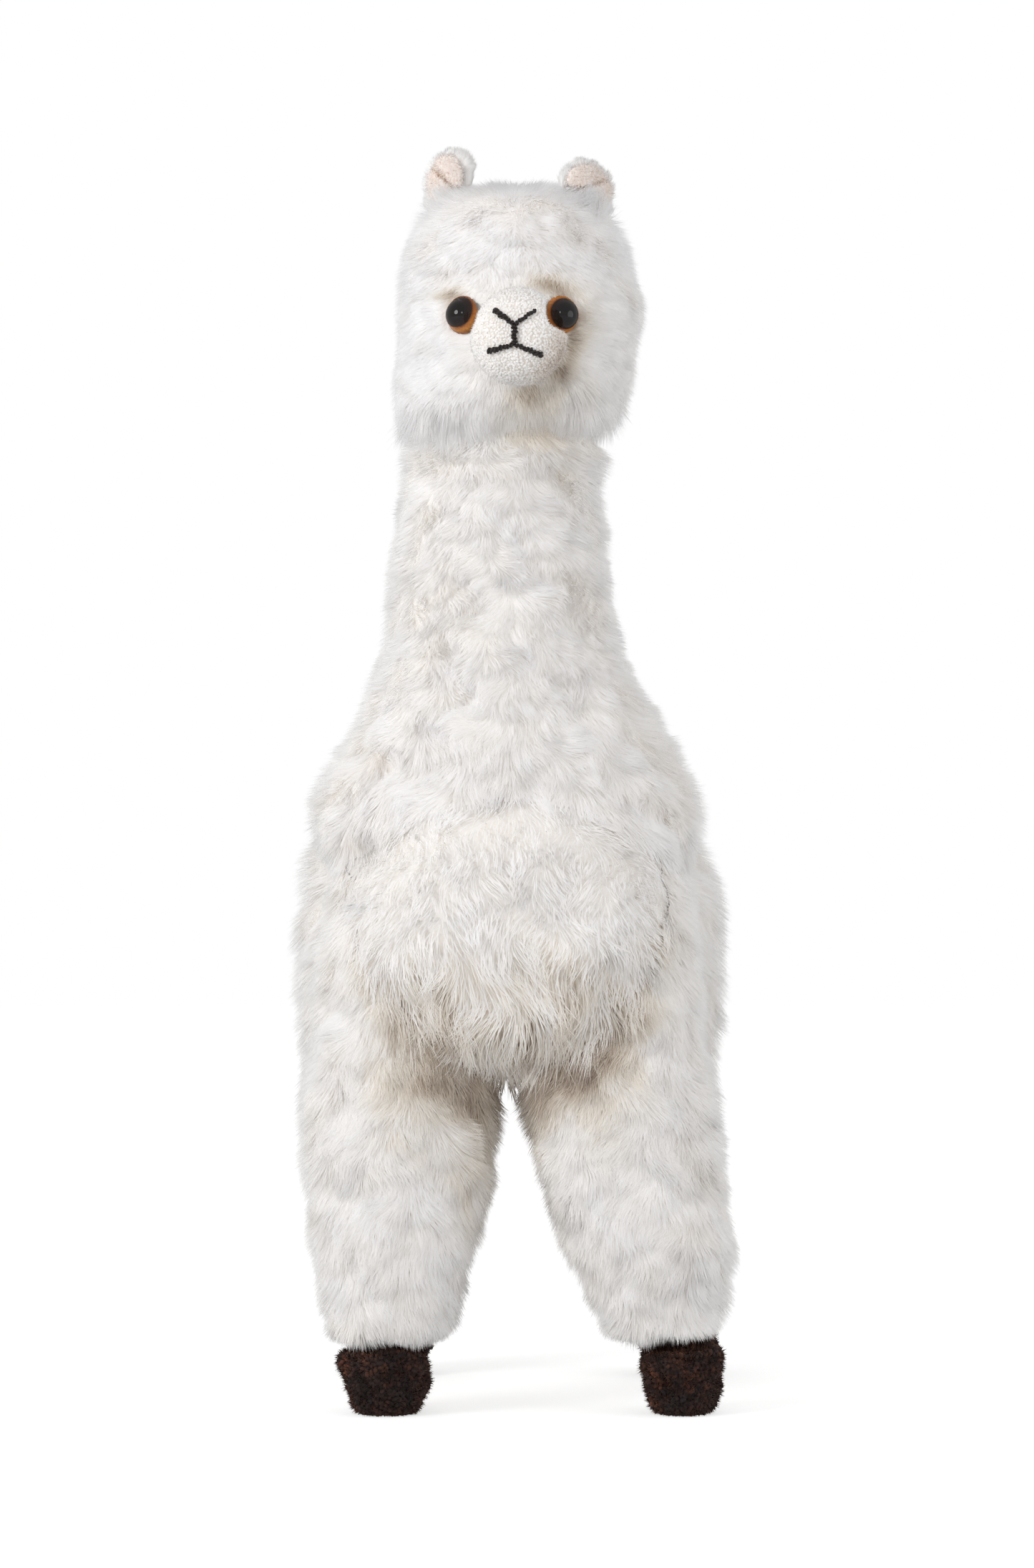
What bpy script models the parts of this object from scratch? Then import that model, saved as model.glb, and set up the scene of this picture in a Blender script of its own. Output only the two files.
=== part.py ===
"""Stuffed alpaca, standing on four hooves, facing -Y, with its left side at +X.

Every fur piece is the full outer form of a stuffed, sewn pouch. The pouches nest against
each other along their seams, the safety eyes snap into the head, and the nose and mouth
are rows of black thread on the short-pile muzzle.
"""
import math

import bmesh
import bpy
from mathutils import Matrix, Vector

# Gap kept between two pieces that touch
CLEARANCE = 0.0003

# Hooves, short-pile pads with flat soles
HOOF_WIDTH_LEFT = 0.0350
HOOF_WIDTH_RIGHT = 0.0395
HOOF_LENGTH = 0.044
HOOF_HEIGHT = 0.0255
HOOF_TUCK = 0.009

# Legs, from the cuff of fur above the hoof up to the shoulder or the haunch
LEG_LENGTH = 0.1065
SHOULDER_BELOW_BACK = 0.028
HAUNCH_BELOW_BACK = 0.024
FRONT_CUFF_WIDTH = 0.060
FRONT_LEG_WIDTH = 0.081
SHOULDER_WIDTH = 0.076
FRONT_LEG_DEPTH = 0.070
REAR_CUFF_WIDTH = 0.056
REAR_LEG_WIDTH = 0.076
REAR_LEG_DEPTH = 0.068
HAUNCH_WIDTH = 0.088
HAUNCH_DEPTH = 0.096
FRONT_HIP_X = 0.0412
REAR_HIP_X = 0.0515
FRONT_LEG_Y = -0.066
REAR_LEG_Y = 0.082
FRONT_FOOT_X_LEFT = 0.0625
FRONT_FOOT_X_RIGHT = 0.0485
REAR_FOOT_X_LEFT = 0.062
REAR_FOOT_X_RIGHT = 0.050
HOOF_SPLAY_LEFT = 0.0060
REAR_HOOF_SPLAY_LEFT = 0.0090
HOOF_SPLAY_RIGHT = 0.0008

# Torso, a stuffed barrel from the chest to the rump
TORSO_WIDTH = 0.146
TORSO_HEIGHT = 0.132
TORSO_FRONT_Y = -0.121
TORSO_LENGTH = 0.262

# Neck, with a flared base that sits on the front of the back
NECK_X = -0.0040
NECK_Y = -0.068
NECK_HEIGHT = 0.1245
NECK_WIDTH = 0.084
NECK_DEPTH = 0.078
NECK_BASE_WIDTH = 0.166
NECK_BASE_DEPTH = 0.118
NECK_BASE_SETBACK = 0.014
NECK_SEAT = 0.056
NECK_TUCK = 0.014
NECK_TOP_SHARE = 0.78

# Head
HEAD_X = 0.003
HEAD_Y = -0.072
HEAD_WIDTH = 0.100
HEAD_DEPTH = 0.096
HEAD_HEIGHT = 0.1010
HEAD_TURN = math.radians(5)

# Muzzle, a short-pile ball sewn on the face
MUZZLE_X = 0.0039
MUZZLE_DROP = 0.0165
MUZZLE_WIDTH = 0.0395
MUZZLE_HEIGHT = 0.0400
MUZZLE_REACH = 0.0785
MUZZLE_ROOT = 0.034
MUZZLE_WIDEST = 0.058

# Safety eyes with their shanks and locking washers
FACE_X = 0.001
EYE_DIAMETER = 0.015
EYE_DOME = 0.0068
EYE_RIM = 0.0012
EYE_SPACING = 0.0410
EYE_DROP = 0.0065
EYE_TURN = math.radians(42)
EYE_SINK = 0.0018
SHANK_DIAMETER = 0.0048
SHANK_LENGTH = 0.0120
WASHER_DIAMETER = 0.0120
WASHER_THICKNESS = 0.0014
WASHER_DEPTH = 0.0050

# Ears with their folded linings
EAR_SPREAD = 0.0280
EAR_Y_OFFSET = 0.002
EAR_WIDTH_LEFT = 0.0305
EAR_WIDTH_RIGHT = 0.0245
EAR_THICKNESS = 0.0140
EAR_ROOT = 0.026
EAR_RISE_RIGHT = 0.0110
EAR_RISE_LEFT = 0.0070
EAR_TURN = math.radians(22)
LINING_WIDTH_LEFT = 0.0265
LINING_WIDTH_RIGHT = 0.0205
LINING_HEIGHT = 0.0200
LINING_THICKNESS = 0.0060
LINING_PROUD = 0.0010
LINING_MARGIN = 0.0010

# Tail, a small hanging tuft
TAIL_WIDTH = 0.034
TAIL_DEPTH = 0.026
TAIL_LENGTH = 0.066
TAIL_DROP = 0.016
TAIL_PROUD = 0.0125

# Black thread rows of the nose and mouth, across and up from the muzzle's centre
THREAD_WIDTH = 0.0017
NOSE_UP = 0.0034
NOSTRIL_REACH = 0.0078
NOSTRIL_UP = 0.0086
LIP_UP = -0.0040
MOUTH_REACH = 0.0104
MOUTH_UP = -0.0074
THREAD_GAP = 0.0004
THREAD_STEP = 0.0016

# Fineness of the forms
BODY_CORNERS = 10
SMALL_CORNERS = 8
TURNED_STEPS = 24
DOME_POINTS = 6

# Levels that follow from the sizes above
BELLY_Z = HOOF_HEIGHT + LEG_LENGTH
TORSO_Z = BELLY_Z + TORSO_HEIGHT / 2
BACK_Z = BELLY_Z + TORSO_HEIGHT
NECK_TOP_Z = BACK_Z + NECK_HEIGHT
HEAD_Z = NECK_TOP_Z + HEAD_HEIGHT / 2
HEAD_TOP_Z = NECK_TOP_Z + HEAD_HEIGHT
MUZZLE_Z = HEAD_Z - MUZZLE_DROP
EYE_Z = HEAD_Z - EYE_DROP

AXIS_X = Vector((1, 0, 0))
AXIS_Y = Vector((0, 1, 0))
AXIS_Z = Vector((0, 0, 1))


# Scene, collections and materials
def clear_scene():
    for old in list(bpy.data.objects):
        bpy.data.objects.remove(old, do_unlink=True)


def new_collection(name):
    made = bpy.data.collections.new(name)
    bpy.context.scene.collection.children.link(made)
    return made


def make_material(name, color, roughness):
    material = bpy.data.materials.new(name)
    material.use_nodes = True
    shader = material.node_tree.nodes["Principled BSDF"]
    shader.inputs["Base Color"].default_value = (*color, 1)
    shader.inputs["Roughness"].default_value = roughness
    shader.inputs["Metallic"].default_value = 0
    return material


def white_fur(name):
    return make_material(name, (0.86, 0.83, 0.78), 0.95)


# Builders shared by the pieces
def add_object(name, data, place, material, collection):
    made = bpy.data.objects.new(name, data)
    made.matrix_world = place
    collection.objects.link(made)
    if material:
        data.materials.append(material)
    return made


def soft_form(
    name, stations, material, across=AXIS_X, up=AXIS_Y, corners=BODY_CORNERS, flat_start=False
):
    """A closed soft form: rings of (centre, width, depth) make a cage that subdivision rounds."""
    rounding = 0.75 + 0.25 * math.cos(math.tau / corners)
    origin = sum((station[0] for station in stations), Vector()) / len(stations)
    bm = bmesh.new()
    rings = []
    for centre, width, depth in stations:
        ring = []
        for corner in range(corners):
            angle = math.tau * (corner + 0.5) / corners
            reach = across * math.cos(angle) * width / 2 + up * math.sin(angle) * depth / 2
            ring.append(bm.verts.new(centre - origin + reach / rounding))
        rings.append(ring)
    for lower, upper in zip(rings, rings[1:]):
        for corner in range(corners):
            following = (corner + 1) % corners
            bm.faces.new((lower[corner], lower[following], upper[following], upper[corner]))
    start_cap = bm.faces.new(rings[0])
    bm.faces.new(rings[-1])
    if flat_start:
        crease = bm.edges.layers.float.new("crease_edge")
        for edge in start_cap.edges:
            edge[crease] = 1
    bmesh.ops.recalc_face_normals(bm, faces=bm.faces)
    mesh = bpy.data.meshes.new(name)
    bm.to_mesh(mesh)
    bm.free()
    mesh.shade_smooth()
    form = add_object(name, mesh, Matrix.Translation(origin), material, parts)
    add_subdivision(form)
    return form


def add_subdivision(form):
    rounding = form.modifiers.new("rounding", "SUBSURF")
    rounding.levels = 1
    rounding.render_levels = 1
    facets = form.modifiers.new("facets", "TRIANGULATE")
    facets.quad_method = "FIXED"


def as_cutter(cutter):
    cutter.hide_render = True
    cutter.display_type = "WIRE"
    return cutter


def room_for(form):
    """The same form grown by the clearance, which cuts the seat in a neighbour."""
    cutter = add_object("room_for_" + form.name, form.data, form.matrix_world, None, cutters)
    add_subdivision(cutter)
    grown = cutter.modifiers.new("clearance", "DISPLACE")
    grown.strength = CLEARANCE
    grown.mid_level = 0
    return as_cutter(cutter)


def cut(form, *cutter_objects):
    for cutter in cutter_objects:
        seat = form.modifiers.new("seat_" + cutter.name, "BOOLEAN")
        seat.operation = "DIFFERENCE"
        seat.solver = "EXACT"
        seat.object = cutter


def turned(name, profile, place, material, collection, closed=False):
    """A profile of (radius, height) turned about the local Z axis, outer side from top to bottom."""
    mesh = bpy.data.meshes.new(name)
    bm = bmesh.new()
    points = [bm.verts.new((radius, 0, height)) for radius, height in profile]
    for first, second in zip(points, points[1:]):
        bm.edges.new((first, second))
    if closed:
        bm.edges.new((points[-1], points[0]))
    bm.to_mesh(mesh)
    bm.free()
    made = add_object(name, mesh, place, material, collection)
    screw = made.modifiers.new("turning", "SCREW")
    screw.angle = math.tau
    screw.steps = TURNED_STEPS
    screw.render_steps = TURNED_STEPS
    screw.use_merge_vertices = True
    screw.merge_threshold = 0.00001
    return made


def surface_at(form, start, direction):
    """Where a ray meets a form, and the outward normal there, in the toy's frame."""
    bpy.context.view_layer.update()
    solid = form.evaluated_get(bpy.context.evaluated_depsgraph_get())
    to_local = form.matrix_world.inverted()
    found, point, normal, _ = solid.ray_cast(to_local @ start, to_local.to_3x3() @ direction)
    if not found:
        raise ValueError("no surface of " + form.name + " in front of " + str(tuple(start)))
    return form.matrix_world @ point, (form.matrix_world.to_3x3() @ normal).normalized()


# Torso
def make_torso():
    profile = (
        (0.00, 0.46),
        (0.045, 0.77),
        (0.15, 0.97),
        (0.34, 1.02),
        (0.62, 1.03),
        (0.82, 0.98),
        (0.95, 0.72),
        (1.00, 0.40),
    )
    stations = []
    for along, share in profile:
        centre = Vector((0, TORSO_FRONT_Y + TORSO_LENGTH * along, TORSO_Z))
        stations.append((centre, TORSO_WIDTH * share, TORSO_HEIGHT * share))
    return soft_form("torso", stations, white_fur("torso_fur"), up=AXIS_Z)


# Neck
def make_neck():
    flare = (
        (0.00, 0.72),
        (0.11, 0.98),
        (0.19, 0.91),
        (0.27, 0.73),
        (0.345, 0.55),
        (0.42, 0.37),
        (0.50, 0.22),
        (0.62, 0.11),
        (0.80, 0.03),
        (0.97, 0.00),
    )
    base_z = BACK_Z - NECK_SEAT
    stations = []
    for along, share in flare:
        level = base_z + (NECK_TOP_Z - base_z) * along
        centre = Vector((NECK_X * (1 - share), NECK_Y + NECK_BASE_SETBACK * share, level))
        width = NECK_WIDTH + (NECK_BASE_WIDTH - NECK_WIDTH) * share
        depth = NECK_DEPTH + (NECK_BASE_DEPTH - NECK_DEPTH) * share
        stations.append((centre, width, depth))
    top = Vector((NECK_X, NECK_Y, NECK_TOP_Z + NECK_TUCK))
    stations.append((top, NECK_WIDTH * NECK_TOP_SHARE, NECK_DEPTH * NECK_TOP_SHARE))
    return soft_form("neck", stations, white_fur("neck_fur"))


# Head
def make_head():
    profile = (
        (0.00, 0.72),
        (0.06, 0.91),
        (0.19, 0.98),
        (0.42, 1.01),
        (0.62, 1.00),
        (0.78, 0.92),
        (0.91, 0.72),
        (1.00, 0.40),
    )
    stations = []
    for along, share in profile:
        centre = Vector((HEAD_X, HEAD_Y, NECK_TOP_Z + HEAD_HEIGHT * along))
        stations.append((centre, HEAD_WIDTH * share, HEAD_DEPTH * share))
    return soft_form("head", stations, white_fur("head_fur"))


# Muzzle
def muzzle_frame():
    """Across and forward directions of the muzzle, and its centre level with the head's middle."""
    turn = Matrix.Rotation(-HEAD_TURN, 3, "Z")
    across = turn @ AXIS_X
    forward = turn @ -AXIS_Y
    widest = HEAD_Y - MUZZLE_WIDEST
    root = Vector((MUZZLE_X, widest, MUZZLE_Z)) - forward * MUZZLE_WIDEST
    return root, across, forward


def make_muzzle():
    centre, across, forward = muzzle_frame()
    profile = ((0.00, 0.74), (0.32, 0.88), (0.56, 1.00), (0.78, 0.93), (0.93, 0.68), (1.00, 0.36))
    stations = []
    for along, share in profile:
        reach = MUZZLE_ROOT + (MUZZLE_REACH - MUZZLE_ROOT) * along
        stations.append((centre + forward * reach, MUZZLE_WIDTH * share, MUZZLE_HEIGHT * share))
    pile = make_material("muzzle_pile", (0.82, 0.78, 0.72), 0.9)
    return soft_form("muzzle", stations, pile, across=across, up=AXIS_Z)


# Safety eyes
def dome_profile(grow):
    """The clear front of one eye, from its pole down to the rim's lower edge."""
    radius = EYE_DIAMETER / 2 + grow
    points = []
    for step in range(DOME_POINTS + 1):
        angle = math.pi / 2 * step / DOME_POINTS
        points.append((radius * math.sin(angle), (EYE_DOME + grow) * math.cos(angle)))
    points.append((radius, -EYE_RIM - grow))
    return points


def eye_profile():
    shank = SHANK_DIAMETER / 2
    return dome_profile(0) + [(shank, -EYE_RIM), (shank, -SHANK_LENGTH), (0, -SHANK_LENGTH)]


def washer_profile():
    inner = SHANK_DIAMETER / 2 + CLEARANCE
    outer = WASHER_DIAMETER / 2
    top = -WASHER_DEPTH
    bottom = top - WASHER_THICKNESS
    return ((inner, top), (outer, top), (outer, bottom), (inner, bottom))


def socket_profile():
    """The space in the head for an eye, its shank and the washer behind the fabric."""
    shank = SHANK_DIAMETER / 2 + CLEARANCE
    washer = WASHER_DIAMETER / 2 + CLEARANCE
    washer_top = CLEARANCE - WASHER_DEPTH
    washer_bottom = -WASHER_DEPTH - WASHER_THICKNESS - CLEARANCE
    shank_end = -SHANK_LENGTH - CLEARANCE
    return dome_profile(CLEARANCE) + [
        (shank, -EYE_RIM - CLEARANCE),
        (shank, washer_top),
        (washer, washer_top),
        (washer, washer_bottom),
        (shank, washer_bottom),
        (shank, shank_end),
        (0, shank_end),
    ]


def make_eye(side, sign, head):
    """One eye on the face with its washer; returns the socket that makes room for both."""
    x = FACE_X + sign * EYE_SPACING / 2
    outward = Vector((sign * math.sin(EYE_TURN), -math.cos(EYE_TURN), 0))
    outward = Matrix.Rotation(-HEAD_TURN / 2, 3, "Z") @ outward
    front, _ = surface_at(head, Vector((x, HEAD_Y - HEAD_DEPTH, EYE_Z)), AXIS_Y)
    turn = AXIS_Z.rotation_difference(outward).to_matrix().to_4x4()
    place = Matrix.Translation(front - outward * EYE_SINK) @ turn
    eye_plastic = make_material("eye_plastic_" + side, (0.20, 0.07, 0.015), 0.08)
    washer_plastic = make_material("washer_plastic_" + side, (0.75, 0.75, 0.73), 0.5)
    turned("eye_" + side, eye_profile(), place, eye_plastic, parts)
    turned("eye_washer_" + side, washer_profile(), place, washer_plastic, parts, closed=True)
    return as_cutter(turned("eye_socket_" + side, socket_profile(), place, None, cutters))


# Ears
def make_ear(side, sign, rise, width, lining_width, head_room):
    turn = Matrix.Rotation(sign * EAR_TURN, 3, "Z")
    across = turn @ AXIS_X
    forward = turn @ -AXIS_Y
    base = Vector((HEAD_X + sign * EAR_SPREAD, HEAD_Y + EAR_Y_OFFSET, HEAD_TOP_Z - EAR_ROOT))
    height = EAR_ROOT + rise
    profile = ((0.00, 0.70), (0.35, 0.92), (0.68, 1.00), (0.90, 0.88), (1.00, 0.54))
    stations = []
    for along, share in profile:
        stations.append((base + AXIS_Z * height * along, width * share, EAR_THICKNESS * share))
    ear = soft_form("ear_" + side, stations, white_fur("ear_fur_" + side), across, forward, SMALL_CORNERS)
    set_forward = (EAR_THICKNESS - LINING_THICKNESS) / 2 + LINING_PROUD
    lining_top = base + AXIS_Z * (height - LINING_MARGIN) + forward * set_forward
    lining_profile = ((0.00, 0.50), (0.15, 0.80), (0.50, 1.00), (0.85, 0.80), (1.00, 0.50))
    stations = []
    for down, share in lining_profile:
        centre = lining_top - AXIS_Z * LINING_HEIGHT * down
        stations.append((centre, lining_width * share, LINING_THICKNESS * share))
    pink = make_material("ear_lining_pile_" + side, (0.80, 0.66, 0.56), 0.9)
    lining = soft_form("ear_lining_" + side, stations, pink, across, forward, SMALL_CORNERS)
    cut(ear, head_room, room_for(lining))
    cut(lining, head_room)


# Legs with their hooves
def leg_stations(foot, hip, cuff, leg, top_width, depth, top_depth, rise):
    """Rings from the cuff up: the leg slants from its foot to the hip, then rises upright."""
    cuff_depth = depth * cuff / leg
    below = (
        (0.00, cuff * 0.72, cuff_depth * 0.72),
        (0.06, cuff * 0.93, cuff_depth * 0.93),
        (0.20, cuff * 1.03, cuff_depth * 1.03),
        (0.42, (cuff + leg) / 2 * 1.02, (cuff_depth + depth) / 2 * 1.02),
        (0.68, leg * 1.02, depth * 1.02),
    )
    above = (
        (0.00, leg, depth),
        (0.36, top_width, top_depth),
        (0.74, top_width * 0.96, top_depth * 0.96),
        (1.00, top_width * 0.58, top_depth * 0.58),
    )
    stations = []
    for along, width, reach in below:
        centre = foot.lerp(hip, along)
        stations.append((Vector((centre.x, centre.y, HOOF_HEIGHT + LEG_LENGTH * along)), width, reach))
    for along, width, reach in above:
        stations.append((Vector((hip.x, hip.y, BELLY_Z + rise * along)), width, reach))
    return stations


def make_leg(end, side, stations, rooms):
    leg = soft_form(end + "_leg_" + side, stations, white_fur(end + "_leg_fur_" + side))
    leg_room = room_for(leg)
    cut(leg, *rooms)
    return leg_room


def make_hoof(end, side, foot, width, leg_room):
    profile = ((0.00, 0.62), (0.11, 0.85), (0.32, 0.98), (0.58, 1.00), (1.00, 0.90))
    height = HOOF_HEIGHT + HOOF_TUCK
    stations = []
    for along, share in profile:
        centre = Vector((foot.x, foot.y, height * along))
        stations.append((centre, width * share, HOOF_LENGTH * share))
    pile = make_material("hoof_pile_" + end + "_" + side, (0.035, 0.018, 0.013), 0.95)
    hoof = soft_form("hoof_" + end + "_" + side, stations, pile, corners=SMALL_CORNERS, flat_start=True)
    cut(hoof, leg_room)


def make_front_limb(side, sign, foot_x, splay, hoof_width, rooms):
    foot = Vector((sign * foot_x, FRONT_LEG_Y, 0))
    hip = Vector((sign * FRONT_HIP_X, FRONT_LEG_Y, 0))
    stations = leg_stations(
        foot,
        hip,
        cuff=FRONT_CUFF_WIDTH,
        leg=FRONT_LEG_WIDTH,
        top_width=SHOULDER_WIDTH,
        depth=FRONT_LEG_DEPTH,
        top_depth=FRONT_LEG_DEPTH,
        rise=TORSO_HEIGHT - SHOULDER_BELOW_BACK,
    )
    leg_room = make_leg("front", side, stations, rooms)
    make_hoof("front", side, foot + AXIS_X * sign * splay, hoof_width, leg_room)


def make_rear_limb(side, sign, foot_x, splay, hoof_width, rooms):
    foot = Vector((sign * foot_x, REAR_LEG_Y, 0))
    hip = Vector((sign * REAR_HIP_X, REAR_LEG_Y, 0))
    stations = leg_stations(
        foot,
        hip,
        cuff=REAR_CUFF_WIDTH,
        leg=REAR_LEG_WIDTH,
        top_width=HAUNCH_WIDTH,
        depth=REAR_LEG_DEPTH,
        top_depth=HAUNCH_DEPTH,
        rise=TORSO_HEIGHT - HAUNCH_BELOW_BACK,
    )
    leg_room = make_leg("rear", side, stations, rooms)
    make_hoof("rear", side, foot + AXIS_X * sign * splay, hoof_width, leg_room)


# Tail
def make_tail(torso_room):
    rear_y = TORSO_FRONT_Y + TORSO_LENGTH
    top = Vector((0, rear_y + TAIL_PROUD - TAIL_DEPTH / 2, BACK_Z - TAIL_DROP))
    profile = ((0.00, 0.50), (0.14, 0.80), (0.48, 1.00), (0.80, 0.78), (1.00, 0.34))
    stations = []
    for down, share in profile:
        stations.append((top - AXIS_Z * TAIL_LENGTH * down, TAIL_WIDTH * share, TAIL_DEPTH * share))
    tail = soft_form("tail", stations, white_fur("tail_fur"), corners=SMALL_CORNERS)
    cut(tail, torso_room)


# Thread rows of the nose and mouth
def make_thread_row(name, start, end, muzzle_room, material):
    """A round thread that lies on the muzzle along a straight row, seen from the front."""
    centre, across, forward = muzzle_frame()
    start = Vector(start)
    end = Vector(end)
    trim = (end - start).normalized() * THREAD_GAP
    count = max(2, round((end - start).length / THREAD_STEP))
    row = bpy.data.curves.new(name, "CURVE")
    row.dimensions = "3D"
    row.bevel_depth = THREAD_WIDTH / 2
    row.bevel_resolution = 2
    row.use_fill_caps = True
    spline = row.splines.new("POLY")
    spline.points.add(count)
    for index in range(count + 1):
        at = (start + trim).lerp(end, index / count)
        ray_start = centre + forward * (MUZZLE_REACH + MUZZLE_WIDTH) + across * at.x + AXIS_Z * at.y
        point, normal = surface_at(muzzle_room, ray_start, -forward)
        point += normal * THREAD_WIDTH / 2
        spline.points[index].co = (*point, 1)
    add_object(name, row, Matrix.Identity(4), material, parts)


def make_threads(muzzle_room):
    thread = make_material("black_thread", (0.012, 0.011, 0.011), 0.6)
    half = THREAD_WIDTH / 2
    for side, sign in (("left", 1), ("right", -1)):
        joint = (sign * (half + THREAD_GAP), NOSE_UP + half)
        make_thread_row("nostril_stitch_" + side, joint, (sign * NOSTRIL_REACH, NOSTRIL_UP), muzzle_room, thread)
        joint = (sign * (half + THREAD_GAP), LIP_UP - half)
        make_thread_row("mouth_stitch_" + side, joint, (sign * MOUTH_REACH, MOUTH_UP), muzzle_room, thread)
    make_thread_row("lip_stitch_center", (0, NOSE_UP - THREAD_GAP), (0, LIP_UP), muzzle_room, thread)


clear_scene()
parts = new_collection("stuffed_alpaca")
cutters = new_collection("cutters")

torso = make_torso()
torso_room = room_for(torso)
neck = make_neck()
neck_room = room_for(neck)
cut(neck, torso_room)

head = make_head()
head_room = room_for(head)
sockets = [make_eye("left", 1, head), make_eye("right", -1, head)]
cut(head, neck_room, *sockets)

muzzle = make_muzzle()
muzzle_room = room_for(muzzle)
make_threads(muzzle_room)
cut(muzzle, head_room, *sockets)

make_ear("left", 1, EAR_RISE_LEFT, EAR_WIDTH_LEFT, LINING_WIDTH_LEFT, head_room)
make_ear("right", -1, EAR_RISE_RIGHT, EAR_WIDTH_RIGHT, LINING_WIDTH_RIGHT, head_room)
rooms = (torso_room, neck_room)
make_front_limb("left", 1, FRONT_FOOT_X_LEFT, HOOF_SPLAY_LEFT, HOOF_WIDTH_LEFT, rooms)
make_front_limb("right", -1, FRONT_FOOT_X_RIGHT, HOOF_SPLAY_RIGHT, HOOF_WIDTH_RIGHT, rooms)
make_rear_limb("left", 1, REAR_FOOT_X_LEFT, REAR_HOOF_SPLAY_LEFT, HOOF_WIDTH_LEFT, rooms)
make_rear_limb("right", -1, REAR_FOOT_X_RIGHT, HOOF_SPLAY_RIGHT, HOOF_WIDTH_RIGHT, rooms)
make_tail(torso_room)
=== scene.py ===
# A standing stuffed alpaca in long white fleece, in the order it is sewn and stuffed.
# Lengths are in metres, in the frame of the solids: it looks along -Y and its left side is +X.
import itertools
import math

import bpy
import numpy as np
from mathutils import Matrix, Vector
from mathutils.bvhtree import BVHTree
from mathutils.kdtree import KDTree


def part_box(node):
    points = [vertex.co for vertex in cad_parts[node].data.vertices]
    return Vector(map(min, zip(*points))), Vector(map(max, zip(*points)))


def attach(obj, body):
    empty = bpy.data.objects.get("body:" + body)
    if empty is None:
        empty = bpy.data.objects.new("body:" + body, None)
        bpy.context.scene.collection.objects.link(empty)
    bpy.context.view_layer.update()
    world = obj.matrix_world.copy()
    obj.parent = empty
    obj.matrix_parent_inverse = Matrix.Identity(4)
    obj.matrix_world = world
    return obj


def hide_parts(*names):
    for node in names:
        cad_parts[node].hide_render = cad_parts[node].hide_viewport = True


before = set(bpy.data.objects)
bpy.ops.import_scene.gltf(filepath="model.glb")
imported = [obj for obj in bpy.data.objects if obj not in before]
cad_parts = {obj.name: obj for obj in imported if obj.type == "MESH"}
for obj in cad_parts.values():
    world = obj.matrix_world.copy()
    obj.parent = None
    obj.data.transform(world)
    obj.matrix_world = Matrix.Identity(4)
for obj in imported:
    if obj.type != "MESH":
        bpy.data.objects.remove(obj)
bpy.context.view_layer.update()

MM = 0.001
OUTLINE_VOXEL = 3 * MM
FLEECE_NODES = (
    "torso", "neck", "head", "ear_left", "ear_right", "tail",
    "front_leg_left", "front_leg_right", "rear_leg_left", "rear_leg_right",
)


def unit(vectors):
    lengths = np.linalg.norm(vectors, axis=1, keepdims=True)
    return vectors / np.maximum(lengths, 1e-12)


def ramp(values, low, high):
    """0 at low and 1 at high, rounded at both ends; low may be above high."""
    share = np.clip((values - low) / (high - low), 0, 1)
    return share * share * (3 - 2 * share)


def bump(values, middle, reach):
    """1 at the middle and almost 0 from two reaches away."""
    return np.exp(-((values - middle) / reach) ** 2)


def soft_noise(points, wavelength, seed, waves=22):
    """A smooth random field, mostly between -1 and 1: a sum of seeded plane waves."""
    draw = np.random.default_rng(seed)
    directions = unit(draw.normal(size=(waves, 3)))
    lengths = wavelength * draw.uniform(0.7, 1.5, waves)
    phases = draw.uniform(0, math.tau, waves)
    turns = points @ (directions / lengths[:, None]).T * math.tau + phases
    return np.sin(turns).sum(axis=1) / math.sqrt(waves)


def triangle_crosses(points, triangles):
    """For each triangle, a vector square to it and as long as twice its area."""
    first, second, third = (points[triangles[:, corner]] for corner in range(3))
    return np.cross(second - first, third - first)


def summed_at(places, values, count):
    """The sums of the rows of values that go to each of the places."""
    return np.stack([np.bincount(places, column, count) for column in values.T], axis=1)


def vertex_normals(points, triangles):
    flat = triangle_crosses(points, triangles)
    return unit(sum(summed_at(corner, flat, len(points)) for corner in triangles.T))


def relaxed(values, edges, rounds):
    """Each value moves to the mean of its neighbours, some rounds over."""
    first, second = edges.T
    count = np.bincount(edges.ravel(), minlength=len(values))[:, None]
    for _ in range(rounds):
        total = summed_at(first, values[second], len(values)) + summed_at(second, values[first], len(values))
        values = 0.4 * values + 0.6 * total / np.maximum(count, 1)
    return values


def curled_ear(node_name, points):
    """The outer edges of the ears and their linings curl in by a few millimetres."""
    x, y, z = points.T
    if node_name in ("ear_left", "ear_lining_left"):
        inwards = (3.0 + 2.5 * ramp(z, 0.484, 0.476) + 2.5 * ramp(z, 0.487, 0.494)) * MM
        return np.stack((x - inwards * ramp(x, 0.028, 0.045), y, z), axis=1)
    if node_name in ("ear_right", "ear_lining_right"):
        top_corner = 3.0 * MM * ramp(np.abs(x + 0.022), 4 * MM, 13 * MM) * ramp(z, 0.484, 0.496)
        return np.stack((x + 2.6 * MM * ramp(x, -0.022, -0.036), y, z - top_corner), axis=1)
    return points


def solid_points(node_name):
    return np.array([tuple(vertex.co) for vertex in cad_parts[node_name].data.vertices])


def placed(name, data):
    """An object with this data, in the scene."""
    made = bpy.data.objects.new(name, data)
    bpy.context.scene.collection.objects.link(made)
    return made


def read_all(items, name, width, kind=float):
    values = np.empty(len(items) * width, kind)
    items.foreach_get(name, values)
    return values.reshape(-1, width)


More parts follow.
